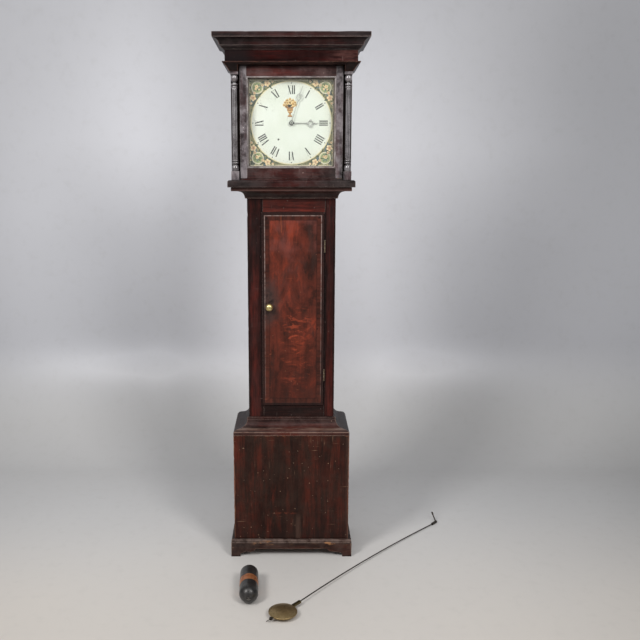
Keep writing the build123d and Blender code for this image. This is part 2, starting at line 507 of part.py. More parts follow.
for k in range(30):
    t = 2 * pi * k / 30
    esc += [(16.6, t + 0.0), (20.0, t + 0.07), (20.0, t + 0.088), (17.2, t + 0.12)]
ew = prism_y([(E[0] + r * cos(t), E[1] + r * sin(t)) for r, t in esc], -5, -3.8) - prism_y(hexagon(E[0], E[1], 2.0), -8, 0)
for q in range(4):
    mid = pi / 4 + q * pi / 2
    ho, hi = pi / 4 - 1.0 / 14, pi / 4 - 1.0 / 4.6
    outer = [(14 * cos(mid - ho + 2 * ho * i / 6), 14 * sin(mid - ho + 2 * ho * i / 6)) for i in range(7)]
    inner = [(4.6 * cos(mid + hi - hi * i), 4.6 * sin(mid + hi - hi * i)) for i in range(3)]
    ew = ew - prism_y([(E[0] + x, E[1] + z) for x, z in outer + inner], -8, 0)
put("escape_wheel",
    arbor(E[0], E[1], 2.0, -52, 7.5) + prism_y(gear_pts(6, M_SECOND, E[0], E[1], ang(E, S2) + pi / 6, True), -33.5, -24.5),
    ew)

# anchor above the escape wheel, arbor and crutch behind the back plate
anchor_pts = [(-4.2, 3.5), (4.2, 3.5), (12, 0.5), (18.6, -6.5), (22.4, -15.0), (22.0, -19.0), (20.6, -19.0), (18.6, -14.5),
              (14.5, -7.5), (9.0, -4.2), (4.2, -3.6), (-4.2, -3.6), (-9.0, -4.2), (-14.5, -7.5), (-18.6, -14.5), (-20.6, -19.0), (-22.0, -19.0),
              (-22.4, -15.0), (-18.6, -6.5), (-12, 0.5)]
anchor = prism_y([(P[0] + x, P[1] + z) for x, z in anchor_pts], -6.2, -2.6)
anchor = anchor + prism_y(hexagon(P[0], P[1], 4), -52, 33.5) + cyl_y(P[0], P[1], FP_F, 40, 0.9)
anchor = anchor + box(-2, 2, 28, 31, P[1] - 128, P[1]) + box(-7, 7, 28, 31, P[1] - 131, P[1] - 127) \
    + box(-7, -3.4, 28, 48, P[1] - 131, P[1] - 127) + box(3.4, 7, 28, 48, P[1] - 131, P[1] - 127)
put("anchor_and_crutch", anchor)

# -------------------------------------------------------------- strike train
aSH = ang(SG, HP)
sg_arbor = arbor(SG[0], SG[1], 7, -52, 7.5, 0.9, FP_F, BP_B, seats=((-24, -14, 10),)) + cyl_y(SG[0], SG[1], 7.5, 17.5, 2.0)
sgw = wheel(78, 0.9, SG[0], SG[1], aSH, -20, -17.4, hub=10, boss=11, arm=4.5, rim=4)
for i in range(13):
    t = 2 * pi * i / 13
    sgw = sgw + prism_y(hexagon(SG[0] + 30.6 * cos(t), SG[1] + 30.6 * sin(t), 2.4), -20, -13.6)
put("strike_great_wheel", sg_arbor, sgw,
    prism_y([(SG[0] + r * cos(2 * pi * i / 40), SG[1] + r * sin(2 * pi * i / 40)) for i, r in [(i, 21.5 if i % 2 else 19.5) for i in range(40)]], -13, -4) - prism_y(hexagon(SG[0], SG[1], 7), -30, 10),
    prism_y(gear_pts(8, 1.0, SG[0], SG[1], ang(SG, CW) + pi / 8, True), 12, 16) - cyl_y(SG[0], SG[1], 10, 18, 2.0))
aHW = ang(HP, WA)
put("hoop_wheel",
    arbor(HP[0], HP[1], 2.6, -52, 7.5) + prism_y(gear_pts(6, 0.9, HP[0], HP[1], aSH + pi + pi / 6, True), -23.5, -14.8),
    wheel(56, 0.75, HP[0], HP[1], aHW, -32, -30.2, hub=2.6, boss=5, arm=2.6, rim=3))
aWF = ang(WA, FL)
put("warning_wheel",
    arbor(WA[0], WA[1], 2.6, -52, 7.5) + prism_y(gear_pts(7, 0.75, WA[0], WA[1], aHW + pi + pi / 7, True), -35, -27.5),
    wheel(48, 0.7, WA[0], WA[1], aWF, -42, -40.4, hub=2.6, boss=4.6, arm=2.2, rim=2.4))
put("fly",
    arbor(FL[0], FL[1], 2.2, -52, 7.5) + prism_y(gear_pts(6, 0.7, FL[0], FL[1], aWF + pi + pi / 6, True), -44.5, -38.2),
    box(FL[0] - 12, FL[0] - 1.1, -26, -9, FL[1] - 0.4, FL[1] + 0.4), box(FL[0] + 1.1, FL[0] + 12, -26, -9, FL[1] - 0.4, FL[1] + 0.4))
cw = prism_y(gear_pts(48, 1.0, CW[0], CW[1], ang(CW, SG), False), 13, 15) - cyl_y(CW[0], CW[1], 10, 18, 2.56)
slot_at = 0
for n in (1, 2, 3, 4, 5, 6, 7, 8, 9, 10, 11, 12):
    slot_at += n
    t = 2 * pi * slot_at / 78
    cw = cw - prism_y([(CW[0] + r * cos(t + u), CW[1] + r * sin(t + u)) for r, u in ((18.5, -0.045), (20.6, -0.045), (20.6, 0.045), (18.5, 0.045))], 10, 18)
put("count_wheel", cw)
ham = prism_y(hexagon(HA[0], HA[1], 4), -52, 7.5) + cyl_y(HA[0], HA[1], FP_F, BP_B, 0.9)
ham = ham + box(HA[0] - 1.4, HA[0] + 1.4, -16, -13, HA[1], 1756) + box(HA[0] - 1.4, HA[0] + 12, -16, -13, 1753, 1756) \
    + box(HA[0] + 9, HA[0] + 12, -16, -13, 1753, 1768)
ham = ham + box(HA[0] + 4, HA[0] + 21, -19, -10, 1762, 1771)
ham = ham + box(HA[0] - 2, HA[0] + 0.5, -30, -26, HA[1] - 16, HA[1])
put("hammer", ham)

# ------------------------------------------------------------------ pendulum
ux, uy = ROD_END_X - BOB_X, ROD_END_Y - BOB_Y
ln = hypot(ux, uy)
ux, uy = ux / ln, uy / ln
PA = degrees(atan2(uy, ux))         # direction of the rod on the floor


def along(t, n=0.0, z=0.0):
    return (BOB_X + ux * t - uy * n, BOB_Y + uy * t + ux * n, z)


BOB_Z = 14.5
with BuildPart() as bb:
    with BuildSketch(Plane.XZ) as sk:
        with BuildLine():
            ThreePointArc((0, 13.2), (28, 9.4), (BOB_R - 0.6, 1.2))
            Polyline((BOB_R - 0.6, 1.2), (BOB_R, 0.6), (BOB_R, -0.6), (BOB_R - 0.6, -1.2))
            ThreePointArc((BOB_R - 0.6, -1.2), (28, -9.4), (0, -13.2))
            Line((0, -13.2), (0, 13.2))
        make_face()
    revolve(axis=Axis.Z)
bob = Pos(BOB_X, BOB_Y, BOB_Z) * bb.part
tube = Pos(*along(0, 0, BOB_Z)) * Rot(0, 0, PA) * Rot(0, 90, 0)
bob = bob - tube * Cylinder(3.2, 160)
put("pendulum_bob", bob)
# flat strap through the bob with a square ferrule where the rod is riveted in
ferrule = Pos(*along(70, 0, BOB_Z - 1.0)) * Rot(0, 0, PA) * Box(38, 10, 8)
ferrule = ferrule - (Pos(*along(70, 0, BOB_Z - 1.0)) * Rot(0, 0, PA) * Rot(0, 90, 0) * Cylinder(2.2, 60))
p0 = Vector(*along(70, 0, BOB_Z - 1.0))
p1 = Vector(*along(ln - 2, 0, 5.0))
pm = Vector(*along(470, 16.5, 8.2))
path = ThreePointArc(p0, pm, p1)
rod = sweep(Plane(origin=path @ 0, z_dir=path % 0) * Circle(2.1), path=path)
screw = Pos(*along(-8, 0, BOB_Z)) * Rot(0, 0, PA) * Rot(0, 90, 0) * Cylinder(1.9, 118)
put("pendulum_rod", rod, screw)
put("bob_ferrule", ferrule - rod)
# brass block clamped on the end of the rod, and the suspension spring in it
blk = Pos(*along(ln + 16.5, 0, 5.0)) * Rot(0, 0, PA) * Box(36, 7, 9.0)
put("suspension_spring", blk)
strip0 = along(ln + 30, 0, 5.0)
d2 = (-0.30, 0.954)
spring_pts = [(0, 0, 4.0), (0, 6, 4.6), (-1.8, 15, 8.6), (-4.6, 26, 15.4), (-7.2, 35, 22.4), (-9.6, 43, 29.0)]
seg = []
for i in range(len(spring_pts) - 1):
    ax, ay, az = spring_pts[i]
    bx, by, bz = spring_pts[i + 1]
    x0_, y0_, z0_ = strip0[0] + ax, strip0[1] + ay, az
    x1_, y1_, z1_ = strip0[0] + bx, strip0[1] + by, bz
    seg.append(((x0_, y0_, z0_), (x1_, y1_, z1_)))
strip = None
w2 = 2.7
for (a0, a1) in seg:
    q = [(a0[0] - w2, a0[1], a0[2]), (a0[0] + w2, a0[1], a0[2]), (a0[0] + w2, a0[1], a0[2] + 0.7), (a0[0] - w2, a0[1], a0[2] + 0.7)]
    piece = poly(q, (a1[0] - a0[0], a1[1] - a0[1], a1[2] - a0[2]))
    strip = piece if strip is None else strip + piece
tip = seg[-1][1]
a0 = seg[-1][0]
q = [(a0[0] - 3.2, a0[1] + 1, a0[2] - 1.0), (a0[0] + 3.2, a0[1] + 1, a0[2] - 1.0), (a0[0] + 3.2, a0[1] + 1, a0[2] + 2.4), (a0[0] - 3.2, a0[1] + 1, a0[2] + 2.4)]
strip = strip + poly(q, (tip[0] - a0[0], tip[1] - a0[1], tip[2] - a0[2]))
PARTS["suspension_spring"][0] = PARTS["suspension_spring"][0] + strip
nut = Pos(*along(-58.5, 0, BOB_Z)) * Rot(0, 0, PA) * Rot(0, 90, 0)
put("rating_nut", nut * (extrude(RegularPolygon(6.2, 8), amount=3, both=True) - Cylinder(1.96, 12)))

# -------------------------------------------------------------------- weight
with BuildPart() as wt:
    with BuildSketch(Plane.XZ) as sk:
        with BuildLine():
            hl = WEIGHT_L / 2
            ThreePointArc((0, hl), (23.6, hl - 8.9), (WEIGHT_R, hl - 30))
            Line((WEIGHT_R, hl - 30), (WEIGHT_R, -hl + 22))
            ThreePointArc((WEIGHT_R, -hl + 22), (26.4, -hl + 6.3), (12, -hl))
            Line((12, -hl), (0, -hl))
            Line((0, -hl), (0, hl))
        make_face()
    revolve(axis=Axis.Z)
BAND_AT = 2.5                        # middle of the copper band, from the middle of the casting
lay = Pos(WEIGHT_X, WEIGHT_Y, WEIGHT_R + 0.4) * Rot(0, 0, WEIGHT_TURN) * Rot(90, 0, 0)
shell = wt.part - (Pos(0, 0, BAND_AT) * (Cylinder(WEIGHT_R + 1, 36) - Cylinder(WEIGHT_R - 0.8, 38)))
put("weight_body", lay * shell)
put("weight_band", lay * (Pos(0, 0, BAND_AT) * (Cylinder(WEIGHT_R + 0.35, 36) - Cylinder(WEIGHT_R - 0.8, 38))))
eye = Pos(0, 0, WEIGHT_L / 2 + 4.6) * Rot(90, 0, 0) * Torus(6.6, 1.7)
put("weight_eye", lay * (eye + Pos(0, 0, WEIGHT_L / 2 - 1.4) * Cylinder(2.2, 3.2)))
PARTS["weight_body"][0] = PARTS["weight_body"][0] - lay * (Pos(0, 0, WEIGHT_L / 2 + 4.6) * Rot(90, 0, 0) * Torus(6.6, 1.7)) - lay * (Pos(0, 0, WEIGHT_L / 2 - 1.4) * Cylinder(2.2, 3.2))

# ------------------------------------------------------------------- writing
os.makedirs("parts", exist_ok=True)
for old in os.listdir("parts"):
    if old.endswith(".step") and old[:-5] not in PARTS:
        os.remove(os.path.join("parts", old))
for name, shapes in PARTS.items():
    solids = []
    for s in shapes:
        solids += list(s.solids())
    export_step(Compound(children=solids) if len(solids) > 1 else solids[0], "parts/" + name + ".step")
print(len(PARTS), "nodes; arbors", {k: tuple(round(v, 3) for v in p) for k, p in dict(G=G, S2=S2, E=E, P=P, SG=SG, HP=HP, WA=WA, FL=FL, CW=CW).items()})
print("pendulum length from spring tip to bob", round(ln + 20, 1), "direction", round(PA, 3))
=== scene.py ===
import bpy
import bmesh
from math import sin, cos, pi, radians, hypot, sqrt, atan2
from mathutils import Vector, Matrix, noise


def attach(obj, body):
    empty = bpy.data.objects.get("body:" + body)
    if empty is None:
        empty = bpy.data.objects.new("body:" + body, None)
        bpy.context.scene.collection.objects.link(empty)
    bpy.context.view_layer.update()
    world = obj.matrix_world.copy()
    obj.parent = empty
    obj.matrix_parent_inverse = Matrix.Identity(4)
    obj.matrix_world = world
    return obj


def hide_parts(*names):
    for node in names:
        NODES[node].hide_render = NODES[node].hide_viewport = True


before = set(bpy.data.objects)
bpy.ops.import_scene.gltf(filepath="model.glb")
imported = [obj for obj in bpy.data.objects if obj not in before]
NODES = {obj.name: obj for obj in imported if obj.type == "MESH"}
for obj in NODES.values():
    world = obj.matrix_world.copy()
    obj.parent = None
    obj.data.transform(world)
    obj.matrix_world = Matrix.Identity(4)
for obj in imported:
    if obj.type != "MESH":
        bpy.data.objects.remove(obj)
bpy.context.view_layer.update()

scene = bpy.context.scene
scene.view_settings.view_transform = "Standard"

# ------------------------------------------------------------------ camera
cam_data = bpy.data.cameras.new("camera")
cam_data.lens = 43.443
cam_data.sensor_width = 36.0
cam_data.shift_x = 0.0447
cam_data.clip_start, cam_data.clip_end = 0.05, 60
cam = bpy.data.objects.new("camera", cam_data)
cam.location = (0.0, -2.96419, 1.46123)
cam.rotation_euler = (radians(79.674), 0.0, 0.0)
scene.collection.objects.link(cam)
scene.camera = cam


# --------------------------------------------------------------- materials
def lin(r, g, b):
    """Display colour, 0 to 255, as a linear one."""
    out = []
    for c in (r, g, b):
        c /= 255.0
        out.append(c / 12.92 if c <= 0.04045 else ((c + 0.055) / 1.055) ** 2.4)
    return (out[0], out[1], out[2], 1.0)


class Mat:
    """A small writer of node trees."""

    def __init__(self, name):
        self.m = bpy.data.materials.new(name)
        self.m.use_nodes = True
        self.t = self.m.node_tree
        self.t.nodes.clear()
        self.out = self.t.nodes.new("ShaderNodeOutputMaterial")
        self.b = self.t.nodes.new("ShaderNodeBsdfPrincipled")
        self.t.links.new(self.b.outputs[0], self.out.inputs[0])
        self._p = None
        self._geo = None

    def put(self, sock, v):
        if isinstance(v, bpy.types.NodeSocket):
            self.t.links.new(v, sock)
        elif v is not None:
            sock.default_value = v

    def set(self, **kw):
        for k, v in kw.items():
            self.put(self.b.inputs[k.replace("_", " ")], v)

    def pos(self):
        if self._p is None:
            self._p = self.t.nodes.new("ShaderNodeTexCoord").outputs["Object"]
        return self._p

    def geo(self):
        if self._geo is None:
            self._geo = self.t.nodes.new("ShaderNodeNewGeometry")
        return self._geo

    def math(self, op, a, b=0.0, c=0.0, clamp=False):
        n = self.t.nodes.new("ShaderNodeMath")
        n.operation = op
        n.use_clamp = clamp
        self.put(n.inputs[0], a)
        self.put(n.inputs[1], b)
        self.put(n.inputs[2], c)
        return n.outputs[0]

    def vmath(self, op, a, b=None):
        n = self.t.nodes.new("ShaderNodeVectorMath")
        n.operation = op
        self.put(n.inputs[0], a)
        if b is not None:
            self.put(n.inputs[1], b)
        return n.outputs["Value"] if op in ("DOT_PRODUCT", "LENGTH", "DISTANCE") else n.outputs[0]

    def sep(self, v):
        n = self.t.nodes.new("ShaderNodeSeparateXYZ")
        self.put(n.inputs[0], v)
        return n.outputs[0], n.outputs[1], n.outputs[2]

    def comb(self, x, y, z):
        n = self.t.nodes.new("ShaderNodeCombineXYZ")
        self.put(n.inputs[0], x)
        self.put(n.inputs[1], y)
        self.put(n.inputs[2], z)
        return n.outputs[0]

    def mapping(self, v, scale=(1, 1, 1), rot=(0, 0, 0), loc=(0, 0, 0)):
        n = self.t.nodes.new("ShaderNodeMapping")
        self.put(n.inputs["Vector"], v)
        n.inputs["Scale"].default_value = scale
        n.inputs["Rotation"].default_value = rot
        n.inputs["Location"].default_value = loc
        return n.outputs[0]

    def noise(self, v, scale, detail=4.0, rough=0.55, dist=0.0, col=False):
        n = self.t.nodes.new("ShaderNodeTexNoise")
        self.put(n.inputs["Vector"], v)
        n.inputs["Scale"].default_value = scale
        n.inputs["Detail"].default_value = detail
        n.inputs["Roughness"].default_value = rough
        n.inputs["Distortion"].default_value = dist
        return n.outputs[1] if col else n.outputs[0]

    def voronoi(self, v, scale, feature="F1", out=0):
        n = self.t.nodes.new("ShaderNodeTexVoronoi")
        n.feature = feature
        self.put(n.inputs["Vector"], v)
        n.inputs["Scale"].default_value = scale
        return n.outputs[out]

    def ramp(self, v, a, b, c=0.0, d=1.0):
        """Smooth step of v from a..b to c..d."""
        n = self.t.nodes.new("ShaderNodeMapRange")
        n.interpolation_type = "SMOOTHSTEP"
        self.put(n.inputs[0], v)
        for i, x in enumerate((a, b, c, d)):
            n.inputs[1 + i].default_value = x
        return n.outputs[0]

    def mix(self, f, a, b, mode="MIX"):
        n = self.t.nodes.new("ShaderNodeMix")
        n.data_type = "RGBA"
        n.blend_type = mode
        self.put(n.inputs[0], f)
        self.put(n.inputs[6], a)
        self.put(n.inputs[7], b)
        return n.outputs[2]

    def bump(self, h, dist, strength=1.0):
        n = self.t.nodes.new("ShaderNodeBump")
        n.inputs["Strength"].default_value = strength
        n.inputs["Distance"].default_value = dist
        self.put(n.inputs["Height"], h)
        return n.outputs[0]

    def edges(self, radius=0.003, samples=4):
        """0 on a flat, 1 on an edge."""
        n = self.t.nodes.new("ShaderNodeBevel")
        n.samples = samples
        n.inputs["Radius"].default_value = radius
        d = self.vmath("DOT_PRODUCT", n.outputs[0], self.geo().outputs["Normal"])
        return self.ramp(d, 0.99, 0.80)

    def ao(self, dist=0.012, samples=4):
        n = self.t.nodes.new("ShaderNodeAmbientOcclusion")
        n.samples = samples
        n.inputs["Distance"].default_value = dist
        return n.outputs["AO"]


def wood(name, dark, mid, red, wear, axis="Z", red_amount=0.5, centre=0.0, grey=None, grey_amount=0.0, wear_amount=0.6,
         chip=None, chip_at=0.62, rough=0.42, spec=0.16, coat=0.03, streak=0.6, blotch=6.5, specks=0.5, seed=0.0, bump=0.0005,
         strips=None, extra=None, coat_rough=0.28):
    """Stained, varnished old wood, with grain along one axis of the row frame."""
    m = Mat(name)
    p0 = m.pos()
    k = {"X": (0.07, 1.0, 1.0), "Y": (1.0, 0.07, 1.0), "Z": (1.0, 1.0, 0.07)}[axis]
    k2 = {"X": (0.35, 1.0, 1.0), "Y": (1.0, 0.35, 1.0), "Z": (1.0, 1.0, 0.35)}[axis]
    p = m.mapping(p0, loc=(seed, seed * 1.7, seed * 0.6))
    pg = m.mapping(p, scale=k)
    pb = m.mapping(p, scale=k2)
    g1 = m.noise(pg, 34, 7, 0.62, 0.35)            # broad streaks
    g2 = m.noise(pg, 150, 4, 0.6, 0.15)            # narrow streaks
    g3 = m.noise(pg, 620, 2, 0.5)                  # fibres
    bl = m.noise(pb, blotch, 5, 0.6, 0.3)
    bl2 = m.noise(p, blotch * 4.3, 4, 0.65)
    r = m.math("MULTIPLY_ADD", m.math("SUBTRACT", bl, 0.5), 3.4, red_amount)
    r = m.math("MULTIPLY_ADD", m.math("SUBTRACT", g1, 0.5), 1.5, r)
    r = m.math("MULTIPLY_ADD", m.math("SUBTRACT", bl2, 0.5), 0.9, r)
    if centre:
        x, y, z = m.sep(p0)
        c = m.ramp(m.math("ABSOLUTE", x), 0.21, 0.06)
        r = m.math("MULTIPLY_ADD", m.math("SUBTRACT", c, 0.55), centre, r)
    r = m.math("MAXIMUM", m.math("MINIMUM", r, 1.0), 0.0)
    col = m.mix(r, mid, red)
    dk = m.math("MULTIPLY", m.ramp(g1, 0.62, 0.36), streak)
    col = m.mix(dk, col, dark)
    dk2 = m.math("MULTIPLY", m.ramp(g2, 0.58, 0.34), streak * 0.8)
    col = m.mix(dk2, col, dark)
    # grey patches: dust in the old varnish and a painted sheen
    if grey is not None:
        gm = m.math("MULTIPLY", m.ramp(m.noise(p, 16, 6, 0.7, 0.2), 0.40, 0.62), grey_amount)
        col = m.mix(gm, col, grey)
    fib = m.ramp(g3, 0.3, 0.7, 0.82, 1.10)
    n = m.t.nodes.new("ShaderNodeMix")
    n.data_type = "RGBA"
    n.blend_type = "MULTIPLY"
    n.inputs[0].default_value = 1.0
    m.t.links.new(col, n.inputs[6])
    m.t.links.new(m.comb(fib, fib, fib), n.inputs[7])
    col = n.outputs[2]
    if strips:
        # darker towards the long edges of the piece
        x, y, z = m.sep(p0)
        d = None
        for a, b in strips:
            q = m.math("DIVIDE", m.math("ABSOLUTE", m.math("SUBTRACT", x, (a + b) / 2.0)), (b - a) / 2.0)
            d = q if d is None else m.math("MINIMUM", d, q)
        d = m.math("MULTIPLY_ADD", m.math("SUBTRACT", bl2, 0.5), 0.9, d)
        col = m.mix(m.ramp(d, 0.34, 1.0, 0.0, 0.86), col, dark)
    # fine scratches in two directions
    s1 = m.ramp(m.noise(m.mapping(p, scale=(1.0, 1.0, 0.045), rot=(0.12, 0.10, 0)), 300, 2, 0.4), 0.70, 0.76)
    s2 = m.ramp(m.noise(m.mapping(p, scale=(0.05, 1.0, 1.0), rot=(0, 0.35, 0.1)), 260, 2, 0.4), 0.71, 0.77)
    gate = m.ramp(m.noise(p, 9, 3, 0.5), 0.48, 0.62)
    sc = m.math("MULTIPLY", m.math("MAXIMUM", s1, s2), m.math("MULTIPLY", gate, 0.55))
    col = m.mix(sc, col, wear)
    # pale specks and knocks
    vd = m.voronoi(p, 70, out=0)
    vc = m.voronoi(p, 70, out=1)
    cx, cy, cz = m.sep(vc)
    sp = m.math("MULTIPLY", m.ramp(vd, 0.16, 0.07), m.ramp(cx, 0.90, 0.93))
    sp = m.math("MULTIPLY", sp, specks)
    col = m.mix(sp, col, wear)
    # worn arrises, painted shade in the corners
    e = m.edges(0.0034)
    ao = m.ao(0.014)
    conv = m.ramp(ao, 0.72, 0.96)
    wn = m.ramp(m.noise(p, 38, 6, 0.7), 0.36, 0.60)
    w = m.math("MULTIPLY", m.math("MULTIPLY", e, conv), m.math("MULTIPLY", m.math("MULTIPLY_ADD", wn, 0.75, 0.25), wear_amount))
    col = m.mix(w, col, wear)
    if chip is not None:
        e2 = m.edges(0.0085)
        cn = m.ramp(m.noise(m.mapping(p, loc=(3.1, 0.7, 1.9)), 27, 6, 0.72), chip_at, chip_at + 0.05)
        cm = m.math("MULTIPLY", m.math("MULTIPLY", e2, conv), cn)
        col = m.mix(cm, col, chip)
    if extra is not None:
        col = extra(m, col, p0)
    # painted shade: near black where nearby surfaces hem the point in (ambient occlusion)
    corner_shade = m.ramp(ao, 0.80, 0.25, 0.0, 0.80)
    col = m.mix(corner_shade, col, (0.004, 0.003, 0.003, 1))
    ro = m.math("MULTIPLY_ADD", g1, 0.22, rough - 0.10)
    ro = m.math("MULTIPLY_ADD", m.math("MAXIMUM", w, sc), 0.25, ro)
    h = m.math("MULTIPLY_ADD", g2, 0.6, m.math("MULTIPLY", g1, 0.5))
    h = m.math("MULTIPLY_ADD", g3, 0.25, h)
    h = m.math("MULTIPLY_ADD", sc, -0.5, h)
    m.set(Base_Color=col, Roughness=ro, Normal=m.bump(h, bump, 0.7))
    m.b.inputs["Specular IOR Level"].default_value = spec
    m.b.inputs["Coat Weight"].default_value = coat
    m.b.inputs["Coat Roughness"].default_value = coat_rough
    return m.m


WEAR_GREY = lin(132, 114, 108)
WEAR_TAN = lin(158, 118, 88)
DARK = lin(14, 10, 10)


def base_marks(m, col, p0):
    """Knocks and rubbed places of the base panel."""
    x, y, z = m.sep(p0)
    n = m.noise(p0, 30, 5, 0.65)
    n2 = m.noise(m.mapping(p0, scale=(1.0, 1.0, 0.12)), 60, 5, 0.65, 0.3)
    # arrises rubbed down to the bare orange wood
    a = m.math("SUBTRACT", 0.223, m.math("ABSOLUTE", x))
    a = m.math("MULTIPLY_ADD", m.math("SUBTRACT", n2, 0.5), 0.022, a)
    arris = m.math("MULTIPLY", m.ramp(a, 0.0062, 0.0022), m.ramp(z, 0.47, 0.44))
    arris = m.math("MULTIPLY", arris, m.ramp(n, 0.36, 0.54, 0.35, 1.0))
    col = m.mix(m.math("MULTIPLY", arris, 0.62), col, lin(128, 78, 56))
    arris2 = m.math("MULTIPLY", m.ramp(a, 0.0030, 0.0012), m.ramp(n2, 0.44, 0.56))
    col = m.mix(m.math("MULTIPLY", arris2, 0.75), col, lin(176, 146, 124))
    col = m.mix(m.math("MULTIPLY", m.ramp(x, 0.205, 0.222), 0.30), col, lin(104, 78, 68))
    col = m.mix(m.math("MULTIPLY", m.ramp(z, 0.22, 0.06), 0.28), col, lin(26, 18, 16))
    # the joint between the edge strip and the panel
    j = m.math("ABSOLUTE", m.math("SUBTRACT", m.math("ABSOLUTE", x), 0.2145))
    j = m.math("MULTIPLY", m.ramp(j, 0.0012, 0.0003), m.ramp(n, 0.40, 0.55))
    col = m.mix(m.math("MULTIPLY", j, 0.7), col, lin(16, 10, 9))
    # a pale upright scrape low down and a red one across the middle
    b = m.math("ABSOLUTE", m.math("MULTIPLY_ADD", m.math("SUBTRACT", n2, 0.5), 0.030, m.math("SUBTRACT", x, 0.026)))
    b = m.math("MULTIPLY", m.ramp(b, 0.0120, 0.0010), m.math("MULTIPLY", m.ramp(z, 0.045, 0.07), m.ramp(z, 0.185, 0.14)))
    col = m.mix(m.math("MULTIPLY", b, 0.40), col, lin(92, 68, 58))
    c = m.math("ABSOLUTE", m.math("MULTIPLY_ADD", m.math("SUBTRACT", n, 0.5), 0.012, m.math("SUBTRACT", z, 0.176)))
    c = m.math("MULTIPLY", m.ramp(c, 0.005, 0.001), m.math("MULTIPLY", m.ramp(x, -0.085, -0.04), m.ramp(x, 0.03, -0.01)))
    c = m.math("MULTIPLY", c, m.ramp(m.noise(p0, 60, 4, 0.6), 0.42, 0.58))
    col = m.mix(m.math("MULTIPLY", c, 0.45), col, lin(116, 56, 40))
    # reddish upright patches
    r = m.math("MULTIPLY", m.ramp(m.noise(m.mapping(p0, scale=(1.0, 1.0, 0.22), loc=(0.4, 0, 0.9)), 17, 5, 0.62, 0.3), 0.54, 0.68), 0.55)
    left = m.ramp(x, 0.14, -0.16, 0.35, 1.0)
    col = m.mix(m.math("MULTIPLY", r, left), col, lin(92, 36, 24))
    # small pale nicks
    vc = m.voronoi(m.mapping(p0, loc=(0.3, 0.1, 0.7)), 120, out=1)
    ax, ay, az = m.sep(vc)
    sp = m.math("MULTIPLY", m.ramp(m.voronoi(m.mapping(p0, loc=(0.3, 0.1, 0.7)), 120, out=0), 0.17, 0.08), m.ramp(ax, 0.93, 0.95))
    col = m.mix(m.math("MULTIPLY", sp, 0.75), col, lin(186, 160, 138))
    return col


def skirt_wear_and_highlight(m, col, p0):
    """Rubbed bead along the top with a painted highlight on it, and tan chips, most of them on the right."""
    x, y, z = m.sep(p0)
    n = m.noise(p0, 34, 6, 0.68)
    n2 = m.noise(m.mapping(p0, loc=(2.2, 0.3, 0.1)), 13, 4, 0.6)
    # painted highlight along the top bead, broken by noise like rubbed wear
    bead = m.math("MULTIPLY", m.ramp(z, 0.054, 0.060), m.ramp(n, 0.36, 0.60))
    col = m.mix(m.math("MULTIPLY", bead, 0.55), col, lin(128, 110, 102))
    right = m.ramp(x, 0.10, 0.135)
    left = m.math("MULTIPLY", m.ramp(x, -0.16, -0.13), m.ramp(x, -0.04, -0.07))
    g = m.math("MAXIMUM", right, m.math("MULTIPLY", left, 0.7))
    g = m.math("MAXIMUM", g, 0.10)
    nn = m.noise(m.mapping(p0, scale=(0.35, 1.0, 1.0), loc=(1.2, 0, 0)), 58, 6, 0.68)
    ch = m.math("MULTIPLY", m.ramp(m.math("ADD", nn, m.math("MULTIPLY", m.math("SUBTRACT", n2, 0.5), 0.4)), 0.54, 0.62), g)
    ch = m.math("MULTIPLY", ch, m.math("MULTIPLY", m.ramp(z, 0.046, 0.052), m.ramp(z, 0.068, 0.063)))
    col = m.mix(m.math("MULTIPLY", ch, 0.80), col, lin(172, 122, 80))
    return col


def fascia_wear_and_highlights(m, col, p0):
    """Pale lines along the steps of the base moulding: painted highlights, broken by noise like rubbed wear."""
    x, y, z = m.sep(p0)
    n = m.ramp(m.noise(m.mapping(p0, scale=(0.35, 1, 1)), 40, 6, 0.68), 0.34, 0.58)
    for zc, w, k in ((0.5047, 0.0022, 0.50), (0.5125, 0.0022, 0.40), (0.4935, 0.0016, 0.25)):
        d = m.ramp(m.math("ABSOLUTE", m.math("SUBTRACT", z, zc)), w, w * 0.35)
        col = m.mix(m.math("MULTIPLY", m.math("MULTIPLY", d, n), k), col, lin(150, 124, 110))
    return col


def side_grey(m, col, p0):
    """Greyer, duller finish towards the two ends."""
    x, y, z = m.sep(p0)
    n = m.noise(m.mapping(p0, scale=(0.3, 1, 1)), 26, 5, 0.66)
    g = m.math("MULTIPLY", m.ramp(m.math("ABSOLUTE", x), 0.10, 0.19), m.ramp(n, 0.36, 0.60))
    return m.mix(m.math("MULTIPLY", g, 0.6), col, lin(64, 58, 57))


def cornice_wear_and_highlights(m, col, p0):
    """Light lines on the fillet arrises, brighter at the two ends: rubbed wear and painted highlights."""
    x, y, z = m.sep(p0)
    n = m.ramp(m.noise(m.mapping(p0, scale=(0.35, 1, 1)), 34, 6, 0.68), 0.36, 0.60)
    e = m.edges(0.0040)
    k = m.math("MULTIPLY_ADD", m.ramp(m.math("ABSOLUTE", x), 0.12, 0.24), 0.35, 0.25)
    return m.mix(m.math("MULTIPLY", m.math("MULTIPLY", e, n), k), col, lin(120, 108, 106))


def frieze_marks(m, col, p0):
    """Dull black at the left end, rubbed and scratched at the right."""
    x, y, z = m.sep(p0)
    n = m.noise(m.mapping(p0, scale=(0.25, 1, 1)), 70, 5, 0.66)
    left = m.math("MULTIPLY", m.ramp(x, -0.12, -0.17), 0.85)
    col = m.mix(left, col, lin(27, 21, 22))
    right = m.math("MULTIPLY", m.ramp(x, 0.11, 0.17), m.ramp(n, 0.34, 0.62))
    return m.mix(m.math("MULTIPLY", right, 0.66), col, lin(92, 60, 56))


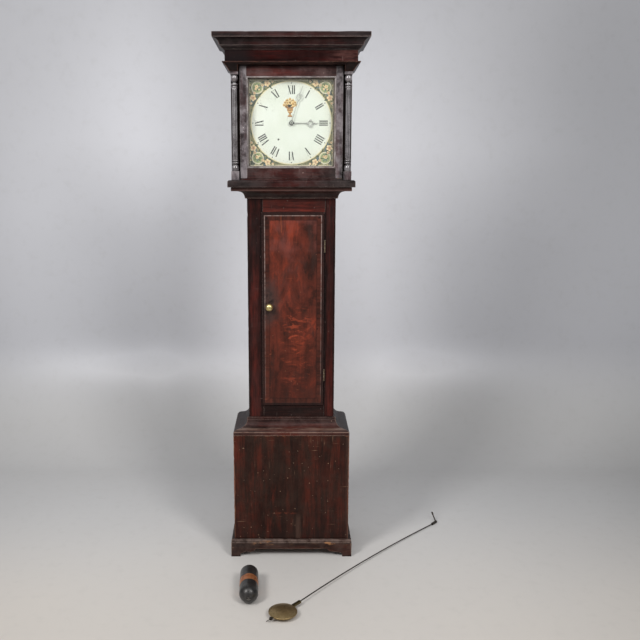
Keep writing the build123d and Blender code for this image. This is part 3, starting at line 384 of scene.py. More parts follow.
hood_v = wood("wood_hood_upright", lin(17, 12, 13), lin(74, 66, 69), lin(80, 54, 55), lin(190, 180, 178), "Z", 0.26, grey=lin(138, 131, 134), grey_amount=0.8, rough=0.38, spec=0.36, coat=0.15,
              coat_rough=0.16, specks=1.0, streak=0.8, seed=1.3)
hood_h = wood("wood_hood_rail", DARK, lin(38, 24, 23), lin(72, 28, 24), lin(150, 130, 122), "X", 0.32, centre=0.6, grey=lin(92, 76, 74), grey_amount=0.5, wear_amount=1.0, rough=0.42, specks=1.0,
              seed=2.1, extra=side_grey)
rail_top = wood("wood_door_rail", DARK, lin(50, 28, 26), lin(92, 36, 30), WEAR_GREY, "X", 0.42, centre=0.5, grey=lin(100, 78, 76), grey_amount=0.55, rough=0.40, spec=0.20, specks=1.0, seed=22.6)
hood_b = wood("wood_hood_base", DARK, lin(32, 21, 20), lin(72, 28, 24), lin(146, 128, 120), "X", 0.32, centre=0.6, grey=lin(70, 60, 59), grey_amount=0.5, wear_amount=1.0, rough=0.42, spec=0.12, specks=1.0,
              seed=2.1, extra=side_grey)
hood_side = wood("wood_hood_side", DARK, lin(40, 30, 30), lin(56, 30, 28), WEAR_GREY, "Z", 0.35, grey=lin(74, 66, 67), grey_amount=0.4, rough=0.46, seed=2.9)
mould_h = wood("wood_moulding", DARK, lin(46, 34, 33), lin(82, 36, 29), lin(156, 132, 120), "X", 0.34, centre=0.5, grey=lin(84, 72, 70), grey_amount=0.4, wear_amount=1.0, rough=0.42, spec=0.2, seed=4.2)
def waist_wear_and_highlight(m, col, p0):
    """The upper member is painted paler than the hollow under it: a painted highlight, broken by noise like rubbed
    wear.
    """
    x, y, z = m.sep(p0)
    n = m.noise(m.mapping(p0, scale=(0.3, 1, 1)), 30, 5, 0.66)
    k = m.math("MULTIPLY", m.ramp(z, 1.4185, 1.4200), m.ramp(n, 0.30, 0.62, 0.25, 1.0))
    return m.mix(m.math("MULTIPLY", k, 0.8), col, lin(104, 72, 66))


waist_h = wood("wood_waist_moulding", DARK, lin(46, 35, 33), lin(82, 37, 30), lin(160, 136, 124), "X", 0.34, centre=0.5, grey=lin(84, 72, 70), grey_amount=0.4, wear_amount=1.0, rough=0.42, spec=0.2, seed=4.2,
               extra=waist_wear_and_highlight)
cornice_h = wood("wood_cornice", DARK, lin(31, 22, 22), lin(68, 26, 22), lin(136, 118, 112), "X", 0.34, centre=0.45, grey=lin(66, 55, 55), grey_amount=0.4, wear_amount=1.0, rough=0.40, spec=0.13, specks=0.9,
                 seed=24.2, extra=cornice_wear_and_highlights)
bed_h = wood("wood_bed_moulding", DARK, lin(25, 17, 16), lin(46, 20, 17), lin(136, 86, 68), "X", 0.26, centre=0.6, grey=lin(58, 48, 47), grey_amount=0.3, wear_amount=0.8, rough=0.42, spec=0.10, seed=26.1)
mould_y = wood("wood_moulding_return", DARK, lin(32, 24, 24), lin(50, 28, 25), WEAR_GREY, "Y", 0.25, grey=lin(64, 57, 57), grey_amount=0.4, wear_amount=0.9, rough=0.44, seed=5.4)
frieze_h = wood("wood_frieze", lin(6, 3, 3), lin(30, 10, 9), lin(74, 17, 13), WEAR_GREY, "X", 0.36, centre=0.6, grey=lin(58, 42, 41), grey_amount=0.15, rough=0.38, spec=0.06, coat=0.0, seed=6.6, extra=frieze_marks)
trunk_v = wood("wood_trunk_stile", lin(9, 7, 7), lin(50, 25, 22), lin(94, 36, 29), WEAR_GREY, "Z", 0.52, grey=lin(58, 45, 45), grey_amount=0.2, rough=0.38, spec=0.14, wear_amount=0.8,
               strips=((-0.1648, -0.1118), (0.1250, 0.1648)), seed=7.7)
trunk_h = wood("wood_trunk_rail", DARK, lin(54, 28, 25), lin(118, 48, 38), WEAR_GREY, "X", 0.55, centre=0.6, grey=lin(72, 54, 51), grey_amount=0.2, rough=0.40, spec=0.14, seed=8.8)
trunk_low = wood("wood_trunk_low_rail", lin(10, 7, 7), lin(38, 24, 22), lin(62, 31, 27), WEAR_GREY, "X", 0.35, grey=lin(50, 42, 40), grey_amount=0.25, rough=0.42, spec=0.12, seed=28.8)
trunk_side = wood("wood_trunk_side", DARK, lin(38, 22, 20), lin(60, 28, 24), WEAR_GREY, "Z", 0.35, grey=lin(58, 50, 50), grey_amount=0.25, rough=0.44, seed=9.5)
base_v = wood("wood_base_panel", lin(14, 9, 8), lin(52, 28, 21), lin(88, 35, 24), lin(156, 124, 100), "Z", 0.21, grey=lin(56, 44, 37), grey_amount=0.3, wear_amount=0.8,
              chip=lin(160, 98, 62), chip_at=0.54, rough=0.40, spec=0.14, coat=0.02, streak=0.46, blotch=8.0, specks=1.0, seed=10.4, extra=base_marks)
base_side = wood("wood_base_side", lin(14, 10, 8), lin(42, 25, 20), lin(64, 30, 23), lin(138, 104, 82), "Z", 0.3, grey=lin(50, 42, 38), grey_amount=0.3, wear_amount=0.6,
                 chip=lin(164, 96, 52), chip_at=0.58, rough=0.44, spec=0.15, specks=0.9, seed=11.8)
cove_h = wood("wood_base_cove", DARK, lin(44, 28, 26), lin(84, 36, 28), lin(150, 124, 110), "X", 0.45, centre=0.4, grey=lin(82, 62, 58), grey_amount=0.45, wear_amount=1.0,
              chip=lin(156, 84, 56), chip_at=0.60, rough=0.42, specks=0.9, seed=12.3, extra=fascia_wear_and_highlights)
skirt_h = wood("wood_skirt", lin(18, 12, 11), lin(44, 33, 30), lin(66, 36, 28), lin(150, 124, 106), "X", 0.35, grey=lin(78, 62, 56), grey_amount=0.5, wear_amount=1.0,
               chip=lin(170, 118, 76), chip_at=0.66, rough=0.46, spec=0.15, specks=1.0, seed=13.9, extra=skirt_wear_and_highlight)
skirt_y = wood("wood_skirt_side", lin(18, 12, 11), lin(44, 34, 31), lin(62, 36, 30), WEAR_GREY, "Y", 0.35, grey=lin(72, 62, 58), grey_amount=0.45, wear_amount=0.9,
               chip=lin(178, 122, 72), chip_at=0.57, rough=0.50, spec=0.15, specks=1.0, seed=14.6)
raw_v = wood("wood_raw_upright", lin(70, 48, 32), lin(122, 92, 64), lin(140, 104, 72), lin(165, 135, 100), "Z", 0.4, wear_amount=0.3, rough=0.75, spec=0.2, coat=0.0, streak=0.5, specks=0.3, seed=15.2)
raw_h = wood("wood_raw_level", lin(70, 48, 32), lin(118, 90, 64), lin(136, 102, 72), lin(165, 135, 100), "X", 0.4, wear_amount=0.3, rough=0.75, spec=0.2, coat=0.0, streak=0.5, specks=0.3, seed=16.1)
inner_dark = wood("wood_inner_edge", lin(24, 17, 14), lin(48, 34, 27), lin(58, 38, 30), lin(96, 76, 60), "Z", 0.3, wear_amount=0.3, rough=0.7, spec=0.2, coat=0.0, specks=0.2, seed=17.0)


def door_wood():
    """Figured panel with a cross-banded border, a dark line, and handling dirt round the knob."""
    m = Mat("wood_trunk_door")
    p0 = m.pos()
    x, y, z = m.sep(p0)
    cx, cz = 0.00605, 0.9689
    hx, hz = 0.1125, 0.3655
    dx = m.math("SUBTRACT", hx, m.math("ABSOLUTE", m.math("SUBTRACT", x, cx)))
    dz = m.math("SUBTRACT", hz, m.math("ABSOLUTE", m.math("SUBTRACT", z, cz)))
    inside = m.math("MINIMUM", dx, dz)                       # distance from the outline
    wob = m.math("MULTIPLY", m.math("SUBTRACT", m.noise(p0, 14, 2, 0.5), 0.5), 0.0035)
    ins = m.math("ADD", inside, wob)
    field = m.ramp(ins, 0.0215, 0.0235)
    line = m.math("MULTIPLY", m.ramp(ins, 0.0205, 0.0222), m.ramp(ins, 0.0262, 0.0245))
    # flame figure of the field
    pf = m.mapping(p0, scale=(1.0, 1.0, 0.42), loc=(0.7, 0.2, 0.35))
    fl = m.noise(pf, 13, 6, 0.62, 1.4)
    fl2 = m.noise(m.mapping(p0, scale=(1.0, 1.0, 0.75), rot=(0, 0.5, 0)), 30, 5, 0.62, 0.9)
    gr = m.noise(m.mapping(p0, scale=(1.0, 1.0, 0.10)), 120, 5, 0.6, 0.5)
    big = m.noise(m.mapping(p0, scale=(1.0, 1.0, 0.6), loc=(1.9, 0, 0.4)), 6.0, 3, 0.5, 0.4)
    a = m.math("MULTIPLY_ADD", m.math("SUBTRACT", fl, 0.5), 1.9, 0.52)
    a = m.math("MULTIPLY_ADD", m.math("SUBTRACT", fl2, 0.5), 0.8, a)
    a = m.math("MULTIPLY_ADD", m.math("SUBTRACT", big, 0.5), 1.2, a)
    low = m.ramp(z, 1.02, 0.72, 0.0, 0.04)
    a = m.math("ADD", a, low, clamp=True)
    c1 = m.mix(m.ramp(a, 0.10, 0.55), lin(50, 27, 21), lin(92, 42, 31))
    c1 = m.mix(m.ramp(a, 0.50, 0.95), c1, lin(130, 54, 36))
    smoke = m.math("MULTIPLY", m.ramp(m.noise(m.mapping(p0, scale=(1.3, 1.0, 0.5), loc=(4.2, 0, 1.1)), 11, 5, 0.6, 0.8), 0.52, 0.68), 0.55)
    c1 = m.mix(smoke, c1, lin(58, 42, 38))
    bloom = m.math("MULTIPLY", m.math("MULTIPLY", m.ramp(z, 0.9, 1.25), m.ramp(m.noise(p0, 9, 4, 0.6), 0.42, 0.62)), 0.60)
    c1 = m.mix(bloom, c1, lin(116, 66, 60))
    # an orange flame across the lower middle, and a darker foot
    fz = m.math("SUBTRACT", z, 0.81)
    fx = m.math("SUBTRACT", x, 0.015)
    fd = m.math("SQRT", m.math("ADD", m.math("MULTIPLY", m.math("MULTIPLY", fx, fx), 1.6), m.math("MULTIPLY", m.math("MULTIPLY", fz, fz), 0.36)))
    fd = m.math("MULTIPLY_ADD", m.math("SUBTRACT", fl2, 0.5), 0.16, fd)
    flame = m.math("MULTIPLY", m.ramp(fd, 0.070, 0.010), 0.30)
    c1 = m.mix(flame, c1, lin(140, 60, 38))
    # curved lighter and darker bars of the flame
    bars = m.noise(m.mapping(p0, scale=(0.55, 1.0, 1.5), rot=(0, 0.55, 0), loc=(0.2, 0, 0.9)), 34, 4, 0.55, 1.2)
    hot = m.math("MULTIPLY", m.ramp(z, 1.02, 0.90), m.ramp(z, 0.62, 0.70))
    hot = m.math("MULTIPLY", hot, m.ramp(m.math("ABSOLUTE", m.math("SUBTRACT", x, 0.02)), 0.075, 0.02))
    c1 = m.mix(m.math("MULTIPLY", m.math("MULTIPLY", m.ramp(bars, 0.54, 0.64), hot), 0.55), c1, lin(170, 76, 52))
    c1 = m.mix(m.math("MULTIPLY", m.math("MULTIPLY", m.ramp(bars, 0.46, 0.36), hot), 0.60), c1, lin(58, 28, 21))
    c1 = m.mix(m.math("MULTIPLY", m.ramp(z, 0.86, 0.66), 0.50), c1, lin(60, 27, 20))
    # cross-banding: grain runs towards the edge
    pv = m.mapping(p0, scale=(0.12, 1.0, 1.0))
    ph = m.mapping(p0, scale=(1.0, 1.0, 0.12))
    upright = m.ramp(m.math("SUBTRACT", dz, dx), -0.0005, 0.0005)
    gb = m.mix(upright, m.noise(ph, 90, 5, 0.6, 0.3, col=True), m.noise(pv, 90, 5, 0.6, 0.3, col=True))
    gbx, gby, gbz = m.sep(gb)
    bb = m.noise(m.mapping(p0, loc=(2.0, 1.0, 0.0)), 8, 4, 0.6)
    band = m.mix(m.ramp(m.math("ADD", m.math("MULTIPLY", gbx, 0.55), m.math("MULTIPLY", bb, 0.55)), 0.36, 0.74), lin(46, 24, 19), lin(88, 44, 34))
    col = m.mix(field, band, c1)
    col = m.mix(m.math("MULTIPLY", line, 0.42), col, lin(30, 18, 16))
    # dark spots near the upper corners
    for sx, sz, sr in ((-0.094, 1.318, 0.007), (0.104, 1.322, 0.006), (-0.100, 1.20, 0.004), (0.098, 0.90, 0.004)):
        ex = m.math("SUBTRACT", x, sx)
        ez = m.math("SUBTRACT", z, sz)
        ed = m.math("SQRT", m.math("ADD", m.math("MULTIPLY", ex, ex), m.math("MULTIPLY", ez, ez)))
        ed = m.math("MULTIPLY_ADD", wob, 1.2, ed)
        col = m.mix(m.math("MULTIPLY", m.ramp(ed, sr, sr * 0.4), 0.8), col, lin(22, 14, 13))
    # joints in the banding at the corners
    mit = m.ramp(m.math("ABSOLUTE", m.math("SUBTRACT", dz, dx)), 0.0012, 0.0004)
    mit = m.math("MULTIPLY", mit, m.math("SUBTRACT", 1.0, field))
    col = m.mix(m.math("MULTIPLY", mit, 0.5), col, lin(26, 17, 16))
    dkg = m.math("MULTIPLY", m.ramp(gr, 0.56, 0.34), 0.28)
    col = m.mix(dkg, col, lin(36, 22, 20))
    # handling marks round the knob
    kx = m.math("MULTIPLY", m.math("SUBTRACT", x, -0.086), 0.90)
    kz = m.math("MULTIPLY", m.math("SUBTRACT", z, 0.998), 0.50)
    kd = m.math("SQRT", m.math("ADD", m.math("MULTIPLY", kx, kx), m.math("MULTIPLY", kz, kz)))
    kd = m.math("MULTIPLY_ADD", m.math("SUBTRACT", m.noise(p0, 28, 4, 0.65), 0.5), 0.035, kd)
    km = m.math("MULTIPLY", m.ramp(kd, 0.058, 0.014), 0.80)
    col = m.mix(km, col, lin(66, 52, 49))
    km2 = m.math("MULTIPLY", m.ramp(kd, 0.034, 0.008), m.ramp(m.noise(p0, 46, 4, 0.65), 0.40, 0.62))
    col = m.mix(m.math("MULTIPLY", km2, 0.8), col, lin(24, 18, 17))
    # a crack in the upper left of the field
    ck = m.math("ABSOLUTE", m.math("SUBTRACT", m.math("SUBTRACT", x, -0.038), m.math("MULTIPLY", m.math("SUBTRACT", m.noise(p0, 30, 3, 0.5), 0.5), 0.004)))
    ckm = m.math("MULTIPLY", m.ramp(ck, 0.0016, 0.0005), m.math("MULTIPLY", m.ramp(z, 1.262, 1.270), m.ramp(z, 1.336, 1.330)))
    col = m.mix(m.math("MULTIPLY", ckm, 0.8), col, lin(140, 74, 48))
    # short curved scratches in the lower half, specks
    s1 = m.ramp(m.noise(m.mapping(p0, scale=(0.10, 1, 1.0), rot=(0, 0.7, 0)), 150, 2, 0.4, 0.6), 0.70, 0.75)
    gate = m.math("MULTIPLY", m.ramp(m.noise(p0, 10, 3, 0.5), 0.47, 0.60), m.ramp(z, 1.0, 0.85, 0.35, 1.0))
    sc = m.math("MULTIPLY", m.math("MULTIPLY", s1, gate), 0.65)
    col = m.mix(sc, col, lin(172, 96, 66))
    vc = m.voronoi(p0, 85, out=1)
    ax, ay, az = m.sep(vc)
    sp = m.math("MULTIPLY", m.ramp(m.voronoi(p0, 85, out=0), 0.15, 0.07), m.ramp(ax, 0.94, 0.96))
    col = m.mix(m.math("MULTIPLY", sp, 0.6), col, lin(160, 110, 84))
    e = m.edges(0.0030)
    ao = m.ao(0.012)
    conv = m.ramp(ao, 0.70, 0.95)
    wn = m.ramp(m.noise(p0, 40, 6, 0.7), 0.34, 0.58)
    w = m.math("MULTIPLY", m.math("MULTIPLY", e, conv), m.math("MULTIPLY_ADD", wn, 0.45, 0.55))
    # painted shade on the outer 4 mm of the lipped edge
    outer = m.math("MULTIPLY", m.ramp(inside, 0.0052, 0.0038), 0.80)
    col = m.mix(outer, col, lin(26, 17, 17))
    # painted highlight along the rounded lip about 6 mm in, brighter towards the top; it joins the rubbed arrises, and
    # both fade near the bottom
    lip_highlight = m.ramp(m.math("ABSOLUTE", m.math("SUBTRACT", inside, 0.0062)), 0.0026, 0.0007)
    up = m.ramp(z, 0.80, 1.22, 0.30, 1.0)
    lip_highlight = m.math("MULTIPLY", m.math("MULTIPLY", lip_highlight, up), m.math("MULTIPLY_ADD", wn, 0.75, 0.08))
    w = m.math("MAXIMUM", m.math("MULTIPLY", w, 0.55), m.math("MULTIPLY", lip_highlight, 0.85))
    w = m.math("MULTIPLY", w, m.ramp(z, 0.612, 0.66, 0.10, 1.0))
    col = m.mix(w, col, lin(156, 138, 132))
    # painted shade, near black, in the corners and recesses
    col = m.mix(m.ramp(ao, 0.75, 0.2, 0.0, 0.8), col, (0.006, 0.004, 0.004, 1))
    ro = m.math("MULTIPLY_ADD", fl, 0.20, 0.26)
    ro = m.math("MULTIPLY_ADD", km, 0.12, ro)
    h = m.math("MULTIPLY_ADD", gr, 0.5, m.math("MULTIPLY", line, -0.6))
    h = m.math("MULTIPLY_ADD", sc, -0.4, h)
    m.set(Base_Color=col, Roughness=ro, Normal=m.bump(h, 0.0005, 0.6))
    m.b.inputs["Specular IOR Level"].default_value = 0.20
    m.b.inputs["Coat Weight"].default_value = 0.04
    m.b.inputs["Coat Roughness"].default_value = 0.22
    return m.m


def metal(name, base, tint, dark, rough=0.32, metallic=1.0, scratch=0.5, edge=None, edge_amount=0.5, tarnish=0.5, scale=60, bump=0.00015, turned=None, spec=0.5, boss=None, edge_r=0.0012):
    """Aged metal: tarnish in patches, fine scratches, brighter or darker edges."""
    m = Mat(name)
    p = m.pos()
    n1 = m.noise(p, scale, 6, 0.62, 0.2)
    n2 = m.noise(p, scale * 5, 4, 0.6)
    col = m.mix(m.ramp(n1, 0.35, 0.65), base, tint)
    col = m.mix(m.math("MULTIPLY", m.ramp(n2, 0.50, 0.72), tarnish), col, dark)
    s1 = m.noise(m.mapping(p, scale=(1.0, 1.0, 0.04), rot=(0.2, 0.3, 0.1)), 900, 2, 0.5)
    s2 = m.noise(m.mapping(p, scale=(0.04, 1.0, 1.0), rot=(0.1, 0.2, 0.4)), 900, 2, 0.5)
    sc = m.math("MAXIMUM", m.ramp(s1, 0.62, 0.74), m.ramp(s2, 0.64, 0.75))
    col = m.mix(m.math("MULTIPLY", sc, scratch * 0.5), col, base)
    e = m.edges(edge_r)
    if edge is not None:
        col = m.mix(m.math("MULTIPLY", e, edge_amount), col, edge)
    ao = m.ao(0.006)
    col = m.mix(m.ramp(ao, 0.8, 0.2, 0.0, 0.7), col, dark)
    if boss is not None:
        # blackened round the boss of the hands, rubbed bright at its middle
        x, y, z = m.sep(p)
        dz = m.math("SUBTRACT", z, boss)
        rr = m.math("SQRT", m.math("ADD", m.math("MULTIPLY", x, x), m.math("MULTIPLY", dz, dz)))
        col = m.mix(m.ramp(rr, 0.0120, 0.0108, 0.0, 0.94), col, lin(36, 36, 36))
        col = m.mix(m.ramp(rr, 0.0058, 0.0048, 0.0, 0.85), col, lin(186, 192, 180))
    ro = m.math("MULTIPLY_ADD", n1, 0.25, rough - 0.12)
    ro = m.math("MULTIPLY_ADD", n2, 0.12, ro)
    h = m.math("MULTIPLY_ADD", sc, -0.4, m.math("MULTIPLY", n2, 0.5))
    m.set(Base_Color=col, Roughness=ro, Normal=m.bump(h, bump, 0.6))
    m.b.inputs["Metallic"].default_value = metallic
    m.b.inputs["Specular IOR Level"].default_value = spec
    return m.m


brass_bright = metal("brass_knob", lin(222, 206, 150), lin(206, 184, 124), lin(130, 106, 62), 0.30, tarnish=0.2)
brass_old = metal("brass_old", lin(186, 150, 88), lin(160, 124, 66), lin(84, 62, 34), 0.34, tarnish=0.55, edge=lin(220, 190, 130), edge_amount=0.5)
brass_hinge = metal("brass_hinge", lin(128, 112, 92), lin(96, 80, 64), lin(36, 27, 22), 0.44, metallic=0.45, tarnish=0.7, edge=lin(222, 210, 184), edge_amount=0.7, scale=90, spec=0.35)
brass_bob = metal("brass_bob", lin(186, 164, 122), lin(156, 134, 95), lin(86, 72, 50), 0.38, tarnish=0.5, edge=lin(176, 158, 122), edge_amount=0.5, scale=34)
brass_ferrule = metal("brass_ferrule", lin(110, 98, 66), lin(84, 74, 48), lin(40, 34, 24), 0.40, tarnish=0.5, edge=lin(150, 138, 104), edge_amount=0.5)
bell_metal = metal("bell_metal", lin(170, 140, 92), lin(140, 112, 70), lin(78, 60, 40), 0.36, tarnish=0.5, edge=lin(210, 184, 130))
steel_old = metal("steel_old", lin(120, 116, 110), lin(96, 92, 87), lin(44, 38, 34), 0.40, tarnish=0.5, edge=lin(180, 176, 170), edge_amount=0.5)
steel_rod = metal("steel_rod", lin(84, 78, 72), lin(66, 60, 55), lin(38, 31, 27), 0.45, tarnish=0.6, edge=lin(120, 114, 108), edge_amount=0.3)
steel_dark = metal("steel_collet", lin(58, 60, 60), lin(44, 46, 46), lin(18, 18, 18), 0.38, metallic=0.5, tarnish=0.4, edge=lin(90, 92, 90), edge_amount=0.3, boss=1.661)
steel_hand = metal("steel_hand", lin(222, 224, 216), lin(200, 202, 194), lin(120, 116, 108), 0.34, metallic=0.35, tarnish=0.3, edge=lin(16, 16, 16), edge_amount=1.0, scale=120, boss=1.661,
                   edge_r=0.0029)
steel_minute = metal("steel_minute_hand", lin(204, 208, 200), lin(180, 184, 176), lin(116, 116, 110), 0.34, metallic=0.25, tarnish=0.3, edge=lin(58, 60, 56), edge_amount=1.0, scale=120, boss=1.661,
                     edge_r=0.0013)
hand_dark = metal("steel_hand_edge", lin(34, 33, 32), lin(26, 25, 24), lin(14, 13, 12), 0.40, metallic=0.6, tarnish=0.3, scale=120)


def iron():
    m = Mat("cast_iron_weight")
    p = m.pos()
    n1 = m.noise(p, 34, 7, 0.66, 0.2)
    n2 = m.noise(p, 230, 5, 0.65)
    n3 = m.noise(p, 900, 3, 0.6)
    col = m.mix(m.ramp(n1, 0.34, 0.66), lin(34, 33, 33), lin(60, 58, 56))
    col = m.mix(m.math("MULTIPLY", m.ramp(n2, 0.58, 0.74), 0.30), col, lin(84, 64, 52))
    col = m.mix(m.math("MULTIPLY", m.ramp(n3, 0.62, 0.72), 0.4), col, lin(92, 90, 88))
    vd = m.voronoi(p, 130, out=0)
    ax, ay, az = m.sep(m.voronoi(p, 130, out=1))
    pit = m.math("MULTIPLY", m.ramp(vd, 0.20, 0.08), m.ramp(ax, 0.86, 0.90))
    col = m.mix(m.math("MULTIPLY", pit, 0.8), col, lin(18, 16, 15))
    e = m.edges(0.003)
    col = m.mix(m.math("MULTIPLY", e, 0.3), col, lin(110, 106, 102))
    h = m.math("MULTIPLY_ADD", n2, 0.6, m.math("MULTIPLY", n3, 0.25))
    h = m.math("MULTIPLY_ADD", pit, -0.8, h)
    m.set(Base_Color=col, Roughness=m.math("MULTIPLY_ADD", n1, 0.25, 0.22), Normal=m.bump(h, 0.0008, 0.8))
    m.b.inputs["Metallic"].default_value = 0.30
    m.b.inputs["Coat Weight"].default_value = 0.12
    m.b.inputs["Coat Roughness"].default_value = 0.22
    return m.m


def copper():
    m = Mat("copper_band")
    p = m.pos()
    n1 = m.noise(m.mapping(p, scale=(1, 1, 1)), 40, 6, 0.66, 0.5)
    n2 = m.noise(p, 190, 5, 0.6)
    col = m.mix(m.ramp(n1, 0.36, 0.62), lin(158, 96, 60), lin(198, 132, 88))
    col = m.mix(m.math("MULTIPLY", m.ramp(m.noise(p, 22, 4, 0.6), 0.52, 0.66), 0.65), col, lin(96, 66, 44))
    col = m.mix(m.math("MULTIPLY", m.ramp(n2, 0.60, 0.70), 0.5), col, lin(206, 152, 112))
    e = m.edges(0.0012)
    col = m.mix(m.math("MULTIPLY", e, 0.5), col, lin(214, 168, 128))
    m.set(Base_Color=col, Roughness=m.math("MULTIPLY_ADD", n1, 0.3, 0.30), Normal=m.bump(n2, 0.0005, 0.6))
    m.b.inputs["Metallic"].default_value = 0.6
    return m.m


def enamel():
    """Aged off-white painted dial, with hairline crazing, faint yellowing and a few marks."""
    m = Mat("dial_enamel")
    p = m.pos()
    x, y, z = m.sep(p)
    n1 = m.noise(p, 11, 5, 0.6)
    n2 = m.noise(p, 90, 5, 0.6)
    col = m.mix(m.ramp(n1, 0.35, 0.68), lin(229, 236, 224), lin(222, 230, 215))
    col = m.mix(m.math("MULTIPLY", m.ramp(n2, 0.60, 0.78), 0.35), col, lin(206, 208, 190))
    rr = m.math("SQRT", m.math("ADD", m.math("MULTIPLY", x, x), m.math("POWER", m.math("SUBTRACT", z, 1.661), 2.0)))
    col = m.mix(m.ramp(rr, 0.105, 0.150, 0.0, 0.28), col, lin(222, 222, 198))
    cr = m.voronoi(m.mapping(p, scale=(1, 1, 1)), 34, feature="DISTANCE_TO_EDGE", out=0)
    cr = m.math("ADD", cr, m.math("MULTIPLY", m.math("SUBTRACT", n2, 0.5), 0.05))
    crack = m.math("MULTIPLY", m.ramp(cr, 0.012, 0.004), m.ramp(m.noise(p, 16, 3, 0.5), 0.46, 0.62))
    col = m.mix(m.math("MULTIPLY", crack, 0.20), col, lin(150, 148, 130))
    vd = m.voronoi(p, 55, out=0)
    ax, ay, az = m.sep(m.voronoi(p, 55, out=1))
    sp = m.math("MULTIPLY", m.ramp(vd, 0.09, 0.04), m.ramp(ax, 0.93, 0.95))
    col = m.mix(m.math("MULTIPLY", sp, 0.5), col, lin(120, 112, 96))
    m.set(Base_Color=col, Roughness=m.math("MULTIPLY_ADD", n1, 0.2, 0.30), Normal=m.bump(m.math("MULTIPLY_ADD", crack, -0.5, n1), 0.0002, 0.5))
    m.b.inputs["Coat Weight"].default_value = 0.15
    m.b.inputs["Coat Roughness"].default_value = 0.2
    return m.m


def paint(name, a, b, scale=120, rough=0.45, third=None, third_at=0.62):
    """Hand-laid oil colour: two shades in soft strokes, thin in places."""
    m = Mat(name)
    p = m.pos()
    n1 = m.noise(p, scale, 5, 0.62, 0.6)
    n2 = m.noise(p, scale * 4, 3, 0.5)
    col = m.mix(m.ramp(n1, 0.34, 0.66), a, b)
    if third is not None:
        col = m.mix(m.ramp(m.noise(m.mapping(p, loc=(1.3, 0, 0.4)), scale * 0.7, 5, 0.62, 0.8), third_at, third_at + 0.10), col, third)
    h = m.math("MULTIPLY_ADD", n2, 0.4, n1)
    m.set(Base_Color=col, Roughness=m.math("MULTIPLY_ADD", n2, 0.15, rough - 0.07), Normal=m.bump(h, 0.00012, 0.5))
    return m.m


def glass():
    m = Mat("door_glass")
    p = m.pos()
    n = m.noise(p, 9, 2, 0.5)
    smear = m.noise(m.mapping(p, scale=(1, 1, 0.4)), 26, 4, 0.6)
    m.set(Roughness=m.ramp(smear, 0.45, 0.75, 0.03, 0.12), Normal=m.bump(n, 0.0015, 0.35),
          Base_Color=m.mix(m.ramp(smear, 0.4, 0.8), lin(232, 240, 236), lin(246, 246, 240)))
    m.b.inputs["Alpha"].default_value = 0.05
    m.b.inputs["IOR"].default_value = 1.5
    m.m.surface_render_method = "BLENDED" if hasattr(m.m, "surface_render_method") else "BLENDED"
    return m.m


def putty():
    m = Mat("glazing_putty")
    p = m.pos()
    n = m.noise(p, 90, 5, 0.6)
    m.set(Base_Color=m.mix(m.ramp(n, 0.35, 0.7), lin(92, 78, 62), lin(126, 110, 88)), Roughness=m.math("MULTIPLY_ADD", n, 0.2, 0.6), Normal=m.bump(n, 0.0006, 0.7))
    return m.m


door_mat = door_wood()
iron_mat = iron()
copper_mat = copper()
enamel_mat = enamel()
glass_mat = glass()
putty_mat = putty()


# --------------------------------------------------------------- geometry
def sharp_edges(bm, degrees):
    lim = radians(degrees)
    out = []
    for e in bm.edges:
        if len(e.link_faces) == 2 and e.calc_face_angle(0.0) > lim:
            out.append(e)
    return out


def finish_piece(bm, name, body, nodes, mats, pick=None, smooth=32, weighted=True):
    """Mesh to object: materials, shading, riding on its body."""
    bmesh.ops.recalc_face_normals(bm, faces=bm.faces)
    me = bpy.data.meshes.new(name)
    if pick is not None:
        for f in bm.faces:
            f.material_index = pick(f.calc_center_median(), f.normal)
    for f in bm.faces:
        f.smooth = True
    bm.to_mesh(me)
    bm.free()
    for m in mats:
        me.materials.append(m)
    me.set_sharp_from_angle(angle=radians(smooth))
    ob = bpy.data.objects.new(name, me)
    scene.collection.objects.link(ob)
    if weighted:
        w = ob.modifiers.new("normals", "WEIGHTED_NORMAL")
        w.keep_sharp = True
        w.weight = 60
    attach(ob, body)
    if nodes:
        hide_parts(*nodes)
    return ob


def cut_along(bm, axis, step, jitter=0.0):
    lo = min(v.co[axis] for v in bm.verts)
    hi = max(v.co[axis] for v in bm.verts)
    n = int((hi - lo) / step)
    if n < 2:
        return
    no = Vector((0, 0, 0))
    no[axis] = 1.0
    for i in range(1, n):
        co = Vector((0, 0, 0))
        co[axis] = lo + (hi - lo) * (i + jitter * (noise.noise(Vector((i * 1.7, lo * 9, hi * 5))))) / n
        bmesh.ops.bisect_plane(bm, geom=list(bm.verts) + list(bm.edges) + list(bm.faces), dist=1e-6, plane_co=co, plane_no=no)


def wear_edges(bm, bevel, seg, knock, seed, scale=46.0, angle=28):
    """Round every arris, then let the rounded strip wander and take small knocks."""
    es = sharp_edges(bm, angle)
    if not es:
        return
    before = set(bm.verts)
    r = bmesh.ops.bevel(bm, geom=es, offset=bevel, offset_type="OFFSET", segments=seg, profile=0.6, affect="EDGES", clamp_overlap=True)
    bm.normal_update()
    new = [v for v in r["verts"] if v.is_valid]
    if knock > 0:
        for v in new:
            q = Vector((v.co.x, v.co.y, v.co.z)) * scale + Vector((seed, seed * 2.3, 0))
            a = noise.fractal(q, 0.6, 2.1, 4)
            b = noise.noise(q * 3.7)
            d = 0.30 * knock * a + knock * max(0.0, a - 0.35) * 2.2 + 0.12 * knock * b
            v.co = v.co - v.normal * d


